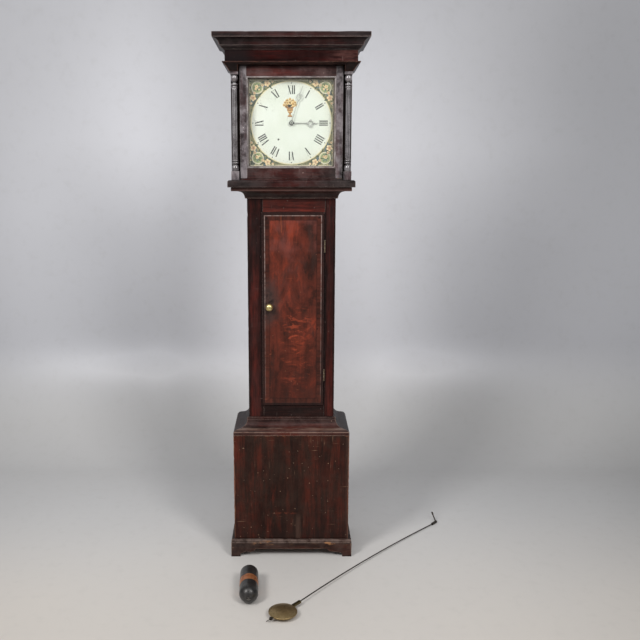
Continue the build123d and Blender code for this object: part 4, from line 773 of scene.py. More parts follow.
def board(name, body, nodes, x0, x1, y0, y1, z0, z1, mats, axis="Z", pick=None, bevel=0.0011, knock=0.0006, step=0.014, seed=1.0, seg=2):
    """A sawn and planed board, sizes in millimetres."""
    bm = bmesh.new()
    c = [(x0, y0, z0), (x1, y0, z0), (x1, y1, z0), (x0, y1, z0), (x0, y0, z1), (x1, y0, z1), (x1, y1, z1), (x0, y1, z1)]
    v = [bm.verts.new((a / 1000, b / 1000, d / 1000)) for a, b, d in c]
    for q in ((0, 3, 2, 1), (4, 5, 6, 7), (0, 1, 5, 4), (1, 2, 6, 5), (2, 3, 7, 6), (3, 0, 4, 7)):
        bm.faces.new([v[i] for i in q])
    cut_along(bm, {"X": 0, "Y": 1, "Z": 2}[axis], step)
    wear_edges(bm, bevel, seg, knock, seed)
    return finish_piece(bm, name, body, nodes, mats, pick)


def from_node(node, keep=None, weld=8e-6, dissolve=0.4):
    """Cleaned copy of a CAD node's mesh, or of the part of it that keep(centre, normal) wants."""
    src = NODES[node].data
    bm = bmesh.new()
    bm.from_mesh(src)
    bm.faces.ensure_lookup_table()
    if keep is not None:
        bad = []
        for f in bm.faces:
            a, b, c = (f.verts[0].co, f.verts[1].co, f.verts[2].co)
            nrm = (b - a).cross(c - a)
            nrm = nrm.normalized() if nrm.length > 0 else Vector((0, 0, 1))
            if not keep((a + b + c) / 3.0, nrm):
                bad.append(f)
        bmesh.ops.delete(bm, geom=bad, context="FACES")
    bmesh.ops.remove_doubles(bm, verts=bm.verts, dist=weld)
    bmesh.ops.dissolve_degenerate(bm, edges=bm.edges, dist=1e-7)
    if dissolve:
        bmesh.ops.dissolve_limit(bm, angle_limit=radians(dissolve), verts=bm.verts, edges=bm.edges, use_dissolve_boundaries=False)
    bm.normal_update()
    return bm


def mitre_part(w, yf, which):
    """Test for the front run (0), or the left (-1) or right (1) return, of a moulding mitred at (w, yf)."""
    def keep(c, n):
        s = 1.0 if c.x > 0 else -1.0
        d = (abs(c.x) - w) - (yf - c.y)
        if abs(d) < 2e-5 and abs(n.z) < 0.1 and abs(abs(n.x) - abs(n.y)) < 0.05:
            front = (n.x * s + n.y) > 0
        else:
            front = d < 0
        if which == 0:
            return front
        return (not front) and s == which
    return keep


def moulding(node, body, w, yf, front_mat, side_mat, bevel=0.0009, knock=0.0006, step=0.013, seed=1.0, nodes=True):
    for which, tag in ((0, "front"), (-1, "left"), (1, "right")):
        bm = from_node(node, mitre_part(w, yf, which))
        cut_along(bm, 0 if which == 0 else 1, step)
        wear_edges(bm, bevel, 2, knock, seed + which * 3.1, angle=24)
        finish_piece(bm, node + "_" + tag, body, (node,), [front_mat if which == 0 else side_mat])


def lathe_mesh(bm, prof, centre, axis="Z", n=64, reed=None):
    """prof: (radius, height) in mm.  reed(height) gives (number, depth mm)."""
    rings = []
    cx, cy, cz = centre
    for r, h in prof:
        ring = []
        for i in range(n):
            a = 2 * pi * i / n
            rr = r
            if reed is not None:
                k = reed(h)
                if k:
                    rr = r - k[1] * (0.5 - 0.5 * abs(cos(a * k[0] / 2.0)) ** 0.6 * 2.0 + 0.5)
            if axis == "Z":
                co = (cx + rr * cos(a), cy + rr * sin(a), cz + h)
            elif axis == "Y":
                co = (cx + rr * cos(a), cy + h, cz + rr * sin(a))
            ring.append(bm.verts.new((co[0] / 1000, co[1] / 1000, co[2] / 1000)))
        rings.append(ring)
    for a, b in zip(rings, rings[1:]):
        for i in range(n):
            j = (i + 1) % n
            bm.faces.new((a[i], a[j], b[j], b[i]))
    bm.faces.new(list(reversed(rings[0])))
    bm.faces.new(rings[-1])
    return bm


# ---------------------------------------------------------------- carcase
def only(mat):
    return None


def assign(node, *mats):
    ob = NODES[node]
    ob.data.materials.clear()
    for m in mats:
        ob.data.materials.append(m)
    if len(mats) == 1:
        for p in ob.data.polygons:
            p.material_index = 0


for n in ("base_bottom_board", "seatboard", "hood_top_board"):
    assign(n, raw_h)
assign("backboard", raw_v)

for s, tag in ((-1, "left"), (1, "right")):
    def inner(c, n, s=s):
        return 1 if n.x * s < -0.5 else 0
    x0, x1 = sorted((s * 148.8, s * 164.8))
    board("trunk_side_" + tag, "case", ("trunk_sides",), x0, x1, -48, 114, 492, 1560, [trunk_side, raw_v], "Z", inner, seed=3 + s)
    x0, x1 = sorted((s * 207, s * 223))
    board("base_side_" + tag, "case", ("base_sides",), x0, x1, -110, 114, 34, 492, [base_side, raw_v], "Z", inner, knock=0.0009, seed=5 + s)
    x0, x1 = sorted((s * 205, s * 217))
    board("hood_side_" + tag, "hood", ("hood_sides",), x0, x1, -98, 126, 1458, 1905, [hood_side, raw_v], "Z", inner, seed=7 + s)
    x0, x1 = sorted((s * 166.6, s * 217))
    board("hood_runner_" + tag, "hood", ("hood_frame",), x0, x1, -80, 126, 1432.5, 1458, [mould_y, raw_h], "Y", inner, seed=9 + s)


def back_raw(c, n):
    return 1 if n.y > 0.5 else 0


board("trunk_stile_left", "case", ("trunk_front_frame",), -164.8, -106.5, -68, -48, 492, 1431, [trunk_v, raw_v], "Z", back_raw, seed=11)
HINGES = ((698.0, 741.0), (1192.0, 1237.0))
outline = [(125.5, 492.0)]
for z0, z1 in HINGES:
    outline += [(125.5, z0 - 0.3), (127.6, z0 - 0.3), (127.6, z1 + 0.3), (125.5, z1 + 0.3)]
outline += [(125.5, 1431.0), (164.8, 1431.0), (164.8, 492.0)]
bm = bmesh.new()
for ya, yb in ((-68.0, -54.7), (-54.7, -48.0)):
    pts = outline if ya < -60 else [(125.5, 492.0), (125.5, 1431.0), (164.8, 1431.0), (164.8, 492.0)]
    fa = [bm.verts.new((x / 1000, ya / 1000, z / 1000)) for x, z in pts]
    fb = [bm.verts.new((x / 1000, yb / 1000, z / 1000)) for x, z in pts]
    bm.faces.new(fa)
    bm.faces.new(list(reversed(fb)))
    for i in range(len(pts)):
        j = (i + 1) % len(pts)
        bm.faces.new((fa[j], fa[i], fb[i], fb[j]))
bmesh.ops.recalc_face_normals(bm, faces=bm.faces)
cut_along(bm, 2, 0.014)
wear_edges(bm, 0.0009, 2, 0.0004, 12.0)
finish_piece(bm, "trunk_stile_right", "case", ("trunk_front_frame",), [trunk_v, raw_v], back_raw)
board("trunk_rail_top", "case", ("trunk_front_frame",), -106.5, 125.5, -68, -48, 1336, 1431, [trunk_h, raw_h], "X", back_raw, seed=13)
board("trunk_rail_bottom", "case", ("trunk_front_frame",), -106.5, 125.5, -68, -48, 492, 602, [trunk_low, raw_h], "X", back_raw, seed=14)
board("base_panel", "case", ("base_front_panel",), -223, 223, -126, -110, 34, 492, [base_v, raw_v], "Z", back_raw, bevel=0.0022, knock=0.0013, step=0.010, seed=15, seg=3)

moulding("base_top_moulding", "case", 0.1648, -0.068, cove_h, mould_y, seed=21)
moulding("waist_moulding", "case", 0.1648, -0.068, waist_h, mould_y, seed=22)
moulding("plinth_skirt", "case", 0.223, -0.126, skirt_h, skirt_y, bevel=0.0012, knock=0.0012, step=0.010, seed=23)

# trunk door: lipped panel
bm = from_node("trunk_door_panel")
cut_along(bm, 2, 0.016)
wear_edges(bm, 0.0009, 2, 0.0005, 31.0)


def door_faces(c, n):
    return 0 if (n.y < 0.3 and c.y < -0.0675) else 1


finish_piece(bm, "trunk_door_board", "trunk_door", ("trunk_door_panel",), [door_mat, inner_dark], door_faces)

# ------------------------------------------------------------------- hood
board("hood_front_rail", "hood", ("hood_frame",), -217, 217, -126, -80, 1432.5, 1458, [hood_b, raw_h], "X", back_raw, seed=41)
board("hood_sill", "hood", ("hood_frame",), -187, 187, -118.5, -98.6, 1458, 1463.8, [hood_h], "X", None, seed=42, bevel=0.0007)
board("hood_head_rail", "hood", ("hood_frame",), -217, 217, -126, -98, 1858, 1905, [mould_h, raw_h], "X", back_raw, seed=43)
moulding("frieze", "hood", 0.217, -0.126, frieze_h, mould_y, seed=44)
moulding("bed_moulding", "hood", 0.217, -0.126, bed_h, mould_y, seed=45)
moulding("cornice", "hood", 0.217, -0.126, cornice_h, mould_y, seed=46)
moulding("hood_base_moulding", "hood", 0.217, -0.126, hood_b, mould_y, seed=47)

board("dial_mask_left", "hood", ("dial_mask",), -204.6, -150, -97.9, -92.4, 1459, 1857, [inner_dark], "Z", seed=51, bevel=0.0006)
board("dial_mask_right", "hood", ("dial_mask",), 150, 204.6, -97.9, -92.4, 1459, 1857, [inner_dark], "Z", seed=52, bevel=0.0006)
board("dial_mask_top", "hood", ("dial_mask",), -150, 150, -97.9, -92.4, 1812, 1857, [inner_dark], "X", seed=53, bevel=0.0006)
board("dial_mask_bottom", "hood", ("dial_mask",), -150, 150, -97.9, -92.4, 1459, 1508.5, [inner_dark], "X", seed=54, bevel=0.0006)

# columns: turned, with a reeded shaft between square blocks
COL = [(10.6, 1489.6), (11.8, 1492), (12.3, 1496), (12.4, 1501), (11.4, 1507), (9.2, 1511.5), (7.2, 1514.0),
       (7.2, 1516.3), (10.6, 1517.0), (11.6, 1519.5), (10.6, 1522.0), (7.4, 1522.8), (7.4, 1524.8), (10.2, 1525.4), (11.0, 1527.5), (10.2, 1529.6), (8.6, 1531)]
COL2 = [(8.4, 1779), (10.2, 1780.4), (10.9, 1783), (10.2, 1785.6), (7.2, 1786.4), (7.2, 1788.8), (10.8, 1789.6), (11.8, 1792.4), (10.8, 1795.4), (7.6, 1796.4), (7.2, 1800),
        (7.8, 1802.5), (9.4, 1805), (11.4, 1808.5), (12.3, 1812), (12.4, 1815), (11.8, 1819), (10.4, 1822.5), (8.6, 1826.4)]


def refine(prof, k=3):
    """Smooth a profile by sampling a curve through its points."""
    out = []
    for i in range(len(prof) - 1):
        p0 = prof[max(i - 1, 0)]
        p1, p2 = prof[i], prof[i + 1]
        p3 = prof[min(i + 2, len(prof) - 1)]
        for j in range(k):
            t = j / k
            t2, t3 = t * t, t * t * t
            out.append(tuple(0.5 * ((2 * b) + (-a + c) * t + (2 * a - 5 * b + 4 * c - d) * t2 + (-a + 3 * b - 3 * c + d) * t3)
                             for a, b, c, d in zip(p0, p1, p2, p3)))
    out.append(prof[-1])
    return out


def reed_shade(m, col, p0):
    """Painted shade, nearly black, in the hollows between the reeds and the rings."""
    x, y, z = m.sep(p0)
    dx = m.math("SUBTRACT", m.math("ABSOLUTE", x), 0.2027)
    dy = m.math("SUBTRACT", y, -0.112)
    r = m.math("SQRT", m.math("ADD", m.math("MULTIPLY", dx, dx), m.math("MULTIPLY", dy, dy)))
    shaft = m.math("MULTIPLY", m.ramp(z, 1.532, 1.536), m.ramp(z, 1.778, 1.774))
    d = m.math("MULTIPLY", m.ramp(r, 0.00835, 0.00745), shaft)
    ring = m.math("MULTIPLY", m.ramp(r, 0.0088, 0.0076), m.math("SUBTRACT", 1.0, shaft))
    return m.mix(m.math("MULTIPLY", m.math("MAXIMUM", d, ring), 0.92), col, lin(14, 11, 12))


column_mat = wood("wood_column", lin(22, 19, 20), lin(104, 99, 101), lin(98, 80, 80), lin(214, 210, 212), "Z", 0.22, grey=lin(146, 142, 145), grey_amount=0.7, wear_amount=1.0, rough=0.26, spec=0.8,
                  coat=0.8, coat_rough=0.06, streak=0.40, seed=19.4, extra=reed_shade)
for s, tag in ((-1, "left"), (1, "right")):
    shaft = []
    for i in range(0, 43):
        z = 1532 + (1778 - 1532) * i / 42.0
        shaft.append((9.2 - 0.4 * i / 42.0, z))
    prof = refine(COL, 2) + shaft + refine(COL2, 2)

    def reed(h):
        if h < 1533 or h > 1777:
            return None
        ends = min(1.0, (h - 1533) / 7.0, (1777 - h) / 7.0)
        return (8, 2.4 * max(0.0, ends))

    bm = bmesh.new()
    lathe_mesh(bm, prof, (s * 202.7, -112.0, 0), n=96, reed=reed)
    finish_piece(bm, "hood_column_" + tag, "hood", ("hood_columns",), [column_mat], smooth=40, weighted=False)
    for z0, z1, w in ((1458, 1490, "foot"), (1826, 1858, "head")):
        board("hood_column_%s_%s" % (w, tag), "hood", ("hood_columns",), s * 202.7 - 14.3, s * 202.7 + 14.3, -126, -98, z0, z1, [hood_v], "Z", seed=60 + s, step=0.008,
              bevel=0.0012)

# ------------------------------------------------------------ hood door
B = 6.0
for s, tag in ((-1, "left"), (1, "right")):
    x0, x1 = sorted((s * (154 + B), s * 184))
    board("door_stile_" + tag, "hood_door", ("hood_door_frame",), x0, x1, -119, -99, 1464.5, 1856.6, [hood_v, inner_dark], "Z", back_raw, seed=70 + s, step=0.012)
board("door_rail_top", "hood_door", ("hood_door_frame",), -154 - B, 154 + B, -119, -99, 1815 + B, 1856.6, [rail_top, inner_dark], "X", back_raw, seed=73, step=0.012)
board("door_rail_bottom", "hood_door", ("hood_door_frame",), -154 - B, 154 + B, -119, -99, 1464.5, 1506.5 - B, [hood_h, inner_dark], "X", back_raw, seed=74, step=0.012)


def ring_frame(name, body, nodes, prof, hx, z0, z1, mats, step=14.0, knock=0.00025, seed=0.0, smooth=40):
    """Mitred frame round a rectangular opening.  prof: closed list of (outward distance, y) in mm."""
    bm = bmesh.new()
    zc, hz = (z0 + z1) / 2.0, (z1 - z0) / 2.0
    sides = []
    corners = [(-1, -1), (1, -1), (1, 1), (-1, 1)]
    loops = []
    for ci in range(4):
        a, b = corners[ci], corners[(ci + 1) % 4]
        length = 2 * hx if a[1] == b[1] else 2 * hz
        n = max(2, int(length / step))
        for i in range(n):
            t = i / n
            loop = []
            for d, y in prof:
                ax, az = a[0] * (hx + d), a[1] * (hz + d)
                bx, bz = b[0] * (hx + d), b[1] * (hz + d)
                co = Vector(((ax + (bx - ax) * t) / 1000, y / 1000, (zc + az + (bz - az) * t) / 1000))
                if knock:
                    q = co * 55 + Vector((seed, 0, 0))
                    co = co + Vector((0, 1, 0)) * (knock * noise.fractal(q, 0.6, 2.1, 3))
                loop.append(bm.verts.new(co))
            loops.append(loop)
    m = len(prof)
    for i in range(len(loops)):
        a, b = loops[i], loops[(i + 1) % len(loops)]
        for j in range(m):
            k = (j + 1) % m
            bm.faces.new((a[j], a[k], b[k], b[j]))
    return finish_piece(bm, name, body, nodes, mats, None, smooth=smooth, weighted=False)


# the bead is a paler copy of the stile wood: a painted highlight along the ovolo bead round the glass
bead_highlight_mat = wood("wood_bead_highlight", lin(40, 34, 34), lin(116, 108, 108), lin(118, 92, 90), lin(214, 206, 202), "Z", 0.3, grey=lin(168, 160, 158), grey_amount=0.8, wear_amount=1.0, rough=0.36, spec=0.5, coat=0.3,
                coat_rough=0.15, streak=0.35, seed=20.7)
bead = [(0.0, -107.6), (0.0, -116.2)]
for i in range(0, 9):
    a = radians(180 - 22.5 * i)
    bead.append((3.0 + 3.0 * cos(a), -117.0 - 2.9 * sin(a)))
bead += [(6.2, -116.2), (6.2, -107.6)]
ring_frame("door_bead", "hood_door", ("hood_door_frame",), bead, 154.0, 1506.5, 1815.0, [bead_highlight_mat], seed=3.3)
ring_frame("door_rebate", "hood_door", ("hood_door_frame",), [(5.0, -107.6), (6.2, -107.6), (6.2, -99.6), (5.0, -99.6)], 154.0, 1506.5, 1815.0, [inner_dark], seed=4.3)
ring_frame("glazing_putty", "hood_door", (), [(-3.5, -105.05), (4.9, -105.05), (4.9, -99.8)], 154.0, 1506.5, 1815.0, [putty_mat], knock=0.0004, seed=5.3)

# glass, very slightly uneven
bm = bmesh.new()
nx = 24
front, back = [], []
for j in range(nx + 1):
    for i in range(nx + 1):
        x = -157.2 + 314.4 * i / nx
        z = 1503.3 + 315.0 * j / nx
        w = 0.12 * noise.noise(Vector((x * 0.013, z * 0.013, 0.5)))
        front.append(bm.verts.new((x / 1000, (-107.15 + w) / 1000, z / 1000)))
for j in range(nx + 1):
    for i in range(nx + 1):
        x = -157.2 + 314.4 * i / nx
        z = 1503.3 + 315.0 * j / nx
        w = 0.12 * noise.noise(Vector((x * 0.011, z * 0.011, 7.5)))
        back.append(bm.verts.new((x / 1000, (-105.3 + w) / 1000, z / 1000)))
W = nx + 1
for j in range(nx):
    for i in range(nx):
        a = j * W + i
        bm.faces.new((front[a], front[a + 1], front[a + 1 + W], front[a + W]))
        bm.faces.new((back[a], back[a + W], back[a + 1 + W], back[a + 1]))
for i in range(nx):
    for a, b in ((i, i + 1), (nx * W + i + 1, nx * W + i), ((i + 1) * W, i * W), (i * W + nx, (i + 1) * W + nx)):
        bm.faces.new((front[a], back[a], back[b], front[b]))
finish_piece(bm, "door_glass_pane", "hood_door", ("hood_door_glass",), [glass_mat], weighted=False)

# ------------------------------------------------------------------- dial
DY = -91.0            # face of the plate
DZ = 1661.0


def cdist(a, b):
    return hypot(a[0] - b[0], a[1] - b[1])


bm = bmesh.new()
hole, half, nseg = 7.2, 152.5, 128
outer_f, outer_b, in_f, in_b = [], [], [], []
for i in range(nseg):
    a = 2 * pi * i / nseg + pi / nseg * 0
    c, s_ = cos(a), sin(a)
    k = half / max(abs(c), abs(s_))
    outer_f.append(bm.verts.new((k * c / 1000, DY / 1000, (DZ + k * s_) / 1000)))
    outer_b.append(bm.verts.new((k * c / 1000, -0.0894, (DZ + k * s_) / 1000)))
    in_f.append(bm.verts.new((hole * c / 1000, DY / 1000, (DZ + hole * s_) / 1000)))
    in_b.append(bm.verts.new((hole * c / 1000, -0.0894, (DZ + hole * s_) / 1000)))
for i in range(nseg):
    j = (i + 1) % nseg
    bm.faces.new((in_f[i], outer_f[i], outer_f[j], in_f[j]))
    bm.faces.new((in_b[j], outer_b[j], outer_b[i], in_b[i]))
    bm.faces.new((outer_f[i], outer_b[i], outer_b[j], outer_f[j]))
    bm.faces.new((in_f[j], in_b[j], in_b[i], in_f[i]))
finish_piece(bm, "dial_sheet", "case", ("dial_plate",), [enamel_mat], weighted=False)

PAINTS = [
    paint("dial_black", lin(10, 10, 10), lin(24, 24, 23), 200, 0.35),                                          # 0
    paint("dial_corner_ground", lin(112, 112, 66), lin(142, 136, 86), 60, 0.5, lin(50, 62, 38), 0.48),           # 1
    paint("dial_gold_line", lin(216, 208, 156), lin(234, 228, 184), 160, 0.35),                                 # 2
    paint("dial_cream", lin(232, 226, 196), lin(216, 210, 176), 160, 0.45),                                     # 3
    paint("dial_leaf_green", lin(38, 58, 34), lin(70, 90, 50), 150, 0.5, lin(28, 42, 30), 0.58),                 # 4
    paint("dial_leaf_blue", lin(62, 86, 92), lin(84, 106, 108), 150, 0.5),                                      # 5
    paint("dial_rose_peach", lin(240, 206, 150), lin(248, 228, 182), 190, 0.45, lin(224, 160, 108), 0.62),       # 6
    paint("dial_rose_red", lin(168, 84, 60), lin(196, 120, 84), 200, 0.45, lin(140, 52, 42), 0.62),               # 7
    paint("dial_rose_pink", lin(240, 204, 160), lin(226, 170, 122), 200, 0.45),                                 # 8
    paint("dial_grey_dot", lin(120, 120, 112), lin(150, 150, 140), 200, 0.4),                                   # 9
    paint("dial_orange", lin(166, 118, 50), lin(196, 150, 78), 110, 0.42, lin(108, 70, 28), 0.55),              # 10
    paint("dial_brown", lin(118, 76, 38), lin(142, 94, 48), 120, 0.45, lin(86, 56, 30), 0.6),                    # 11
    paint("dial_medallion", lin(150, 164, 108), lin(120, 138, 86), 110, 0.5, lin(84, 104, 62), 0.54),          # 12
    paint("dial_chip", lin(58, 52, 44), lin(84, 76, 62), 300, 0.7),                                             # 13
    paint("dial_gold_light", lin(238, 206, 132), lin(244, 220, 160), 130, 0.42),                                # 14
]
dial_bm = bmesh.new()


GROW = [0.0, 0.0, 1.0]        # centre and scale applied to painted shapes


def dial_poly(pts, mat, layer):
    """Flat painted shape.  pts are (x, z) from the dial's centre in mm, counter-clockwise or not."""
    y = (DY - 0.05 - 0.03 * layer) / 1000
    pts = [(GROW[0] + (x - GROW[0]) * GROW[2], GROW[1] + (z - GROW[1]) * GROW[2]) for x, z in pts]
    vs = [dial_bm.verts.new((x / 1000, y, (DZ + z) / 1000)) for x, z in pts]
    f = dial_bm.faces.new(vs)
    f.material_index = mat
    f.normal_update()
    if f.normal.y > 0:
        f.normal_flip()


def ring(cx, cz, r0, r1, mat, layer, n=96, a0=0.0, a1=2 * pi):
    y = (DY - 0.05 - 0.03 * layer) / 1000
    vi, vo = [], []
    full = abs(a1 - a0 - 2 * pi) < 1e-6
    m = n if full else n + 1
    for i in range(m):
        a = a0 + (a1 - a0) * i / n
        vi.append(dial_bm.verts.new(((cx + r0 * cos(a)) / 1000, y, (DZ + cz + r0 * sin(a)) / 1000)))
        vo.append(dial_bm.verts.new(((cx + r1 * cos(a)) / 1000, y, (DZ + cz + r1 * sin(a)) / 1000)))
    for i in range(n if full else n):
        j = (i + 1) % m
        f = dial_bm.faces.new((vi[i], vo[i], vo[j], vi[j]))
        f.material_index = mat
        f.normal_update()
        if f.normal.y > 0:
            f.normal_flip()


def blob(cx, cz, rx, rz, mat, layer, rot=0.0, wob=0.08, n=20, seed=0.0):
    pts = []
    for i in range(n):
        a = 2 * pi * i / n
        k = 1.0 + wob * noise.noise(Vector((cos(a) * 1.6 + seed, sin(a) * 1.6, cx * 0.13 + cz * 0.07)))
        x, z = rx * k * cos(a), rz * k * sin(a)
        pts.append((cx + x * cos(rot) - z * sin(rot), cz + x * sin(rot) + z * cos(rot)))
    dial_poly(pts, mat, layer)


def leaf(cx, cz, length, width, angle, mat, layer):
    """Pointed leaf from (cx, cz) in the direction of angle."""
    up, dn = [], []
    n = 8
    for i in range(n + 1):
        t = i / n
        w = width * 0.5 * sin(pi * t) ** 0.8 * (1.0 - 0.25 * t)
        bend = 0.10 * length * sin(pi * t)
        up.append((length * t, bend + w))
        dn.append((length * t, bend - w))
    pts = dn + list(reversed(up))[1:-1]
    c, s_ = cos(angle), sin(angle)
    dial_poly([(cx + x * c - z * s_, cz + x * s_ + z * c) for x, z in pts], mat, layer)


def rose(cx, cz, r, outer, inner, core, layer, seed=0.0, petals=5):
    for i in range(petals):
        a = 2 * pi * i / petals + seed
        blob(cx + 0.52 * r * cos(a), cz + 0.52 * r * sin(a), r * 0.56, r * 0.46, outer, layer, a, 0.14, 18, seed + i)
    for i in range(3):
        a = 2 * pi * i / 3 + seed * 2.1 + 0.4
        blob(cx + 0.24 * r * cos(a), cz + 0.24 * r * sin(a), r * 0.38, r * 0.27, inner, layer + 1, a, 0.14, 16, seed + 9 + i)
    blob(cx + 0.05 * r, cz, r * 0.20, r * 0.16, core, layer + 2, seed, 0.2, 14, seed)


# corner ground between the circle and the square
y_ = (DY - 0.05) / 1000
vi, vo = [], []
for i in range(256):
    a = 2 * pi * i / 256
    c, s_ = cos(a), sin(a)
    k = 151.6 / max(abs(c), abs(s_))
    vi.append(dial_bm.verts.new((145.5 * c / 1000, y_, (DZ + 145.5 * s_) / 1000)))
    vo.append(dial_bm.verts.new((k * c / 1000, y_, (DZ + k * s_) / 1000)))
for i in range(256):
    j = (i + 1) % 256
    f = dial_bm.faces.new((vi[i], vo[i], vo[j], vi[j]))
    f.material_index = 1
    f.normal_update()
    if f.normal.y > 0:
        f.normal_flip()
ring(0, 0, 142.9, 146.6, 3, 1, 192)
ring(0, 0, 145.4, 147.0, 2, 2, 192)
for pts in (((-151.6, -151.6), (151.6, -151.6), (151.6, -148.6), (-151.6, -148.6)), ((-151.6, 147.6), (151.6, 147.6), (151.6, 151.6), (-151.6, 151.6)),
            ((-151.6, -148.6), (-148.9, -148.6), (-148.9, 147.6), (-151.6, 147.6)), ((148.9, -148.6), (151.6, -148.6), (151.6, 147.6), (148.9, 147.6))):
    dial_poly(pts, 3, 1.4)

# corner flowers, mirrored with small differences
for qx, qz in ((-1, 1), (1, 1), (-1, -1), (1, -1)):
    sd = qx * 1.7 + qz * 2.9
    mx_, mz_ = 122.5, 123.5

    def P(x, z):
        return (qx * x, qz * z)

    def A(a):
        return atan2(qz * sin(a), qx * cos(a))

    cx, cz = P(mx_, mz_)
    for k, (ang_, ln_, wd, mt) in enumerate(((2.75, 23, 7.5, 4), (3.05, 29, 6.5, 5), (2.45, 17, 6.5, 4), (-1.15, 23, 7.5, 4), (-1.45, 29, 6.5, 5), (-0.85, 17, 6.5, 4),
                                             (3.4, 20, 6, 4), (-1.85, 20, 6, 4))):
        bx, bz = P(mx_ + 16 * cos(ang_), mz_ + 16 * sin(ang_))
        leaf(bx, bz, ln_, wd, A(ang_), mt, 2)
    for k, (ux_, uz_, r_) in enumerate(((86.5, 138.0, 12.2), (138.0, 88.0, 12.2), (104.0, 132.0, 6.4), (133.0, 105.0, 6.4), (68.0, 144.6, 5.0), (145.0, 69.0, 5.0))):
        px, pz = P(ux_, uz_)
        for j in range(3):
            a = sd + k + j * 2.1
            leaf(px + 2 * cos(a), pz + 2 * sin(a), r_ * 1.75, r_ * 0.75, a, 4 if j != 1 else 5, 3)
        rose(px, pz, r_ * 0.88, 6, 8 if k % 2 else 6, 7, 4, sd + k)
    ring(cx, cz, 0.01, 20.0, 12, 3, 64)
    ring(cx, cz, 18.6, 21.6, 3, 4, 72)
    ring(cx, cz, 16.2, 16.9, 2, 4, 72)
    for j in range(7):
        a = sd + j * 0.9
        leaf(cx + 3.5 * cos(a), cz + 3.5 * sin(a), 10.5, 4.6, a, 4 if j % 3 else 5, 5)
    rose(cx + 2.0 * qx, cz + 3.5, 6.4, 6, 14, 7, 6, sd)
    rose(cx - 6.0, cz - 5.0 * qz, 3.8, 6, 8, 7, 6, sd + 2)
    rose(cx + 6.5, cz - 6.5 * qz, 3.2, 6, 6, 7, 6, sd + 4)
    blob(cx - 7.5, cz + 6.0, 2.0, 1.6, 14, 6, 0.3, 0.1, 12, sd)
    blob(cx + 9.0, cz + 5.0, 1.7, 1.5, 14, 6, 0.3, 0.1, 12, sd)
    # light touches along the outer edges
    for j in range(6):
        t = 64 + 13.5 * j
        px, pz = P(t, 148.0 - 0.8 * sin(j * 1.9))
        blob(px, pz, 3.4, 0.9, 14 if j % 2 else 3, 3, 0.1 * sin(j), 0.2, 12, sd + j)
        px, pz = P(148.0 - 0.8 * sin(j * 1.3), t)
        blob(px, pz, 0.9, 3.4, 14 if j % 2 else 3, 3, 0.1 * sin(j), 0.2, 12, sd - j)

# minute track and dots
for i in range(60):
    a = radians(6 * i)
    x, z = sin(a), cos(a)
    if i % 5 == 0:
        blob(139.3 * x, 139.3 * z, 1.9, 1.9, 0, 1, 0, 0.08, 14, i)
    else:
        blob(135.9 * x, 135.9 * z, 0.8, 0.8, 9, 1, 0, 0.1, 10, i)

# roman numerals, feet towards the centre
R0, R1 = 101.0, 131.5
THICK, THIN, SERIF = 4.0, 0.6, 0.6


def strokes(text):
    """Polygons of a numeral in (s, t): s to the right, t upwards from 0 to 1."""
    adv = {"I": 7.8 if text == "IIII" else 6.9, "V": 14.8, "X": 14.6}
    width = sum(adv[c] for c in text)
    s = -width / 2.0
    H = R1 - R0
    out = []

    def slant(x0, x1, w):
        out.append([(x0 - w / 2, 0), (x0 + w / 2, 0), (x1 + w / 2, H), (x1 - w / 2, H)])

    def serif(x, top, w):
        if top:
            out.append([(x - w / 2, H - SERIF), (x + w / 2, H - SERIF), (x + w / 2, H), (x - w / 2, H)])
        else:
            out.append([(x - w / 2, 0), (x + w / 2, 0), (x + w / 2, SERIF), (x - w / 2, SERIF)])

    for ch in text:
        w = adv[ch]
        m = s + w / 2.0
        if ch == "I":
            slant(m, m, 3.7 if text == "IIII" else THICK)
            serif(m, True, 6.0)
            serif(m, False, 6.0)
        elif ch == "V":
            slant(m + 0.4, m - w / 2 + 3.4, THICK)
            slant(m + 0.4, m + w / 2 - 2.4, THIN)
            serif(m - w / 2 + 3.4, True, 6.6)
            serif(m + w / 2 - 2.8, True, 4.6)
        else:
            slant(m + w / 2 - 3.2, m - w / 2 + 3.2, THICK)
            slant(m - w / 2 + 2.6, m + w / 2 - 2.6, THIN)
            serif(m - w / 2 + 3.4, True, 6.2)
            serif(m + w / 2 - 2.8, True, 4.6)
            serif(m + w / 2 - 3.4, False, 6.2)
            serif(m - w / 2 + 2.8, False, 4.6)
        s += w
    return out


for h, text in enumerate(("XII", "I", "II", "III", "IIII", "V", "VI", "VII", "VIII", "IX", "X", "XI")):
    a = radians(30 * h)
    ox, oz = sin(a), cos(a)           # outwards
    tx, tz = cos(a), -sin(a)          # clockwise
    for k, pts in enumerate(strokes(text)):
        dial_poly([(ox * (R0 + t) + tx * s, oz * (R0 + t) + tz * s) for s, t in pts], 0, 1 + 0.2 * (k % 3))

# small spray above the centre: a footed vase with a fan of leaves and blossoms
VX, VZ = -5.0, 58.0
GROW[:] = [VX, VZ, 1.2]


def V(x, z):
    return (VX + x, VZ + z)


def vshape(pts, mat, layer):
    full = pts + [(-x, z) for x, z in reversed(pts)]
    dial_poly([V(x, z) for x, z in full], mat, layer)


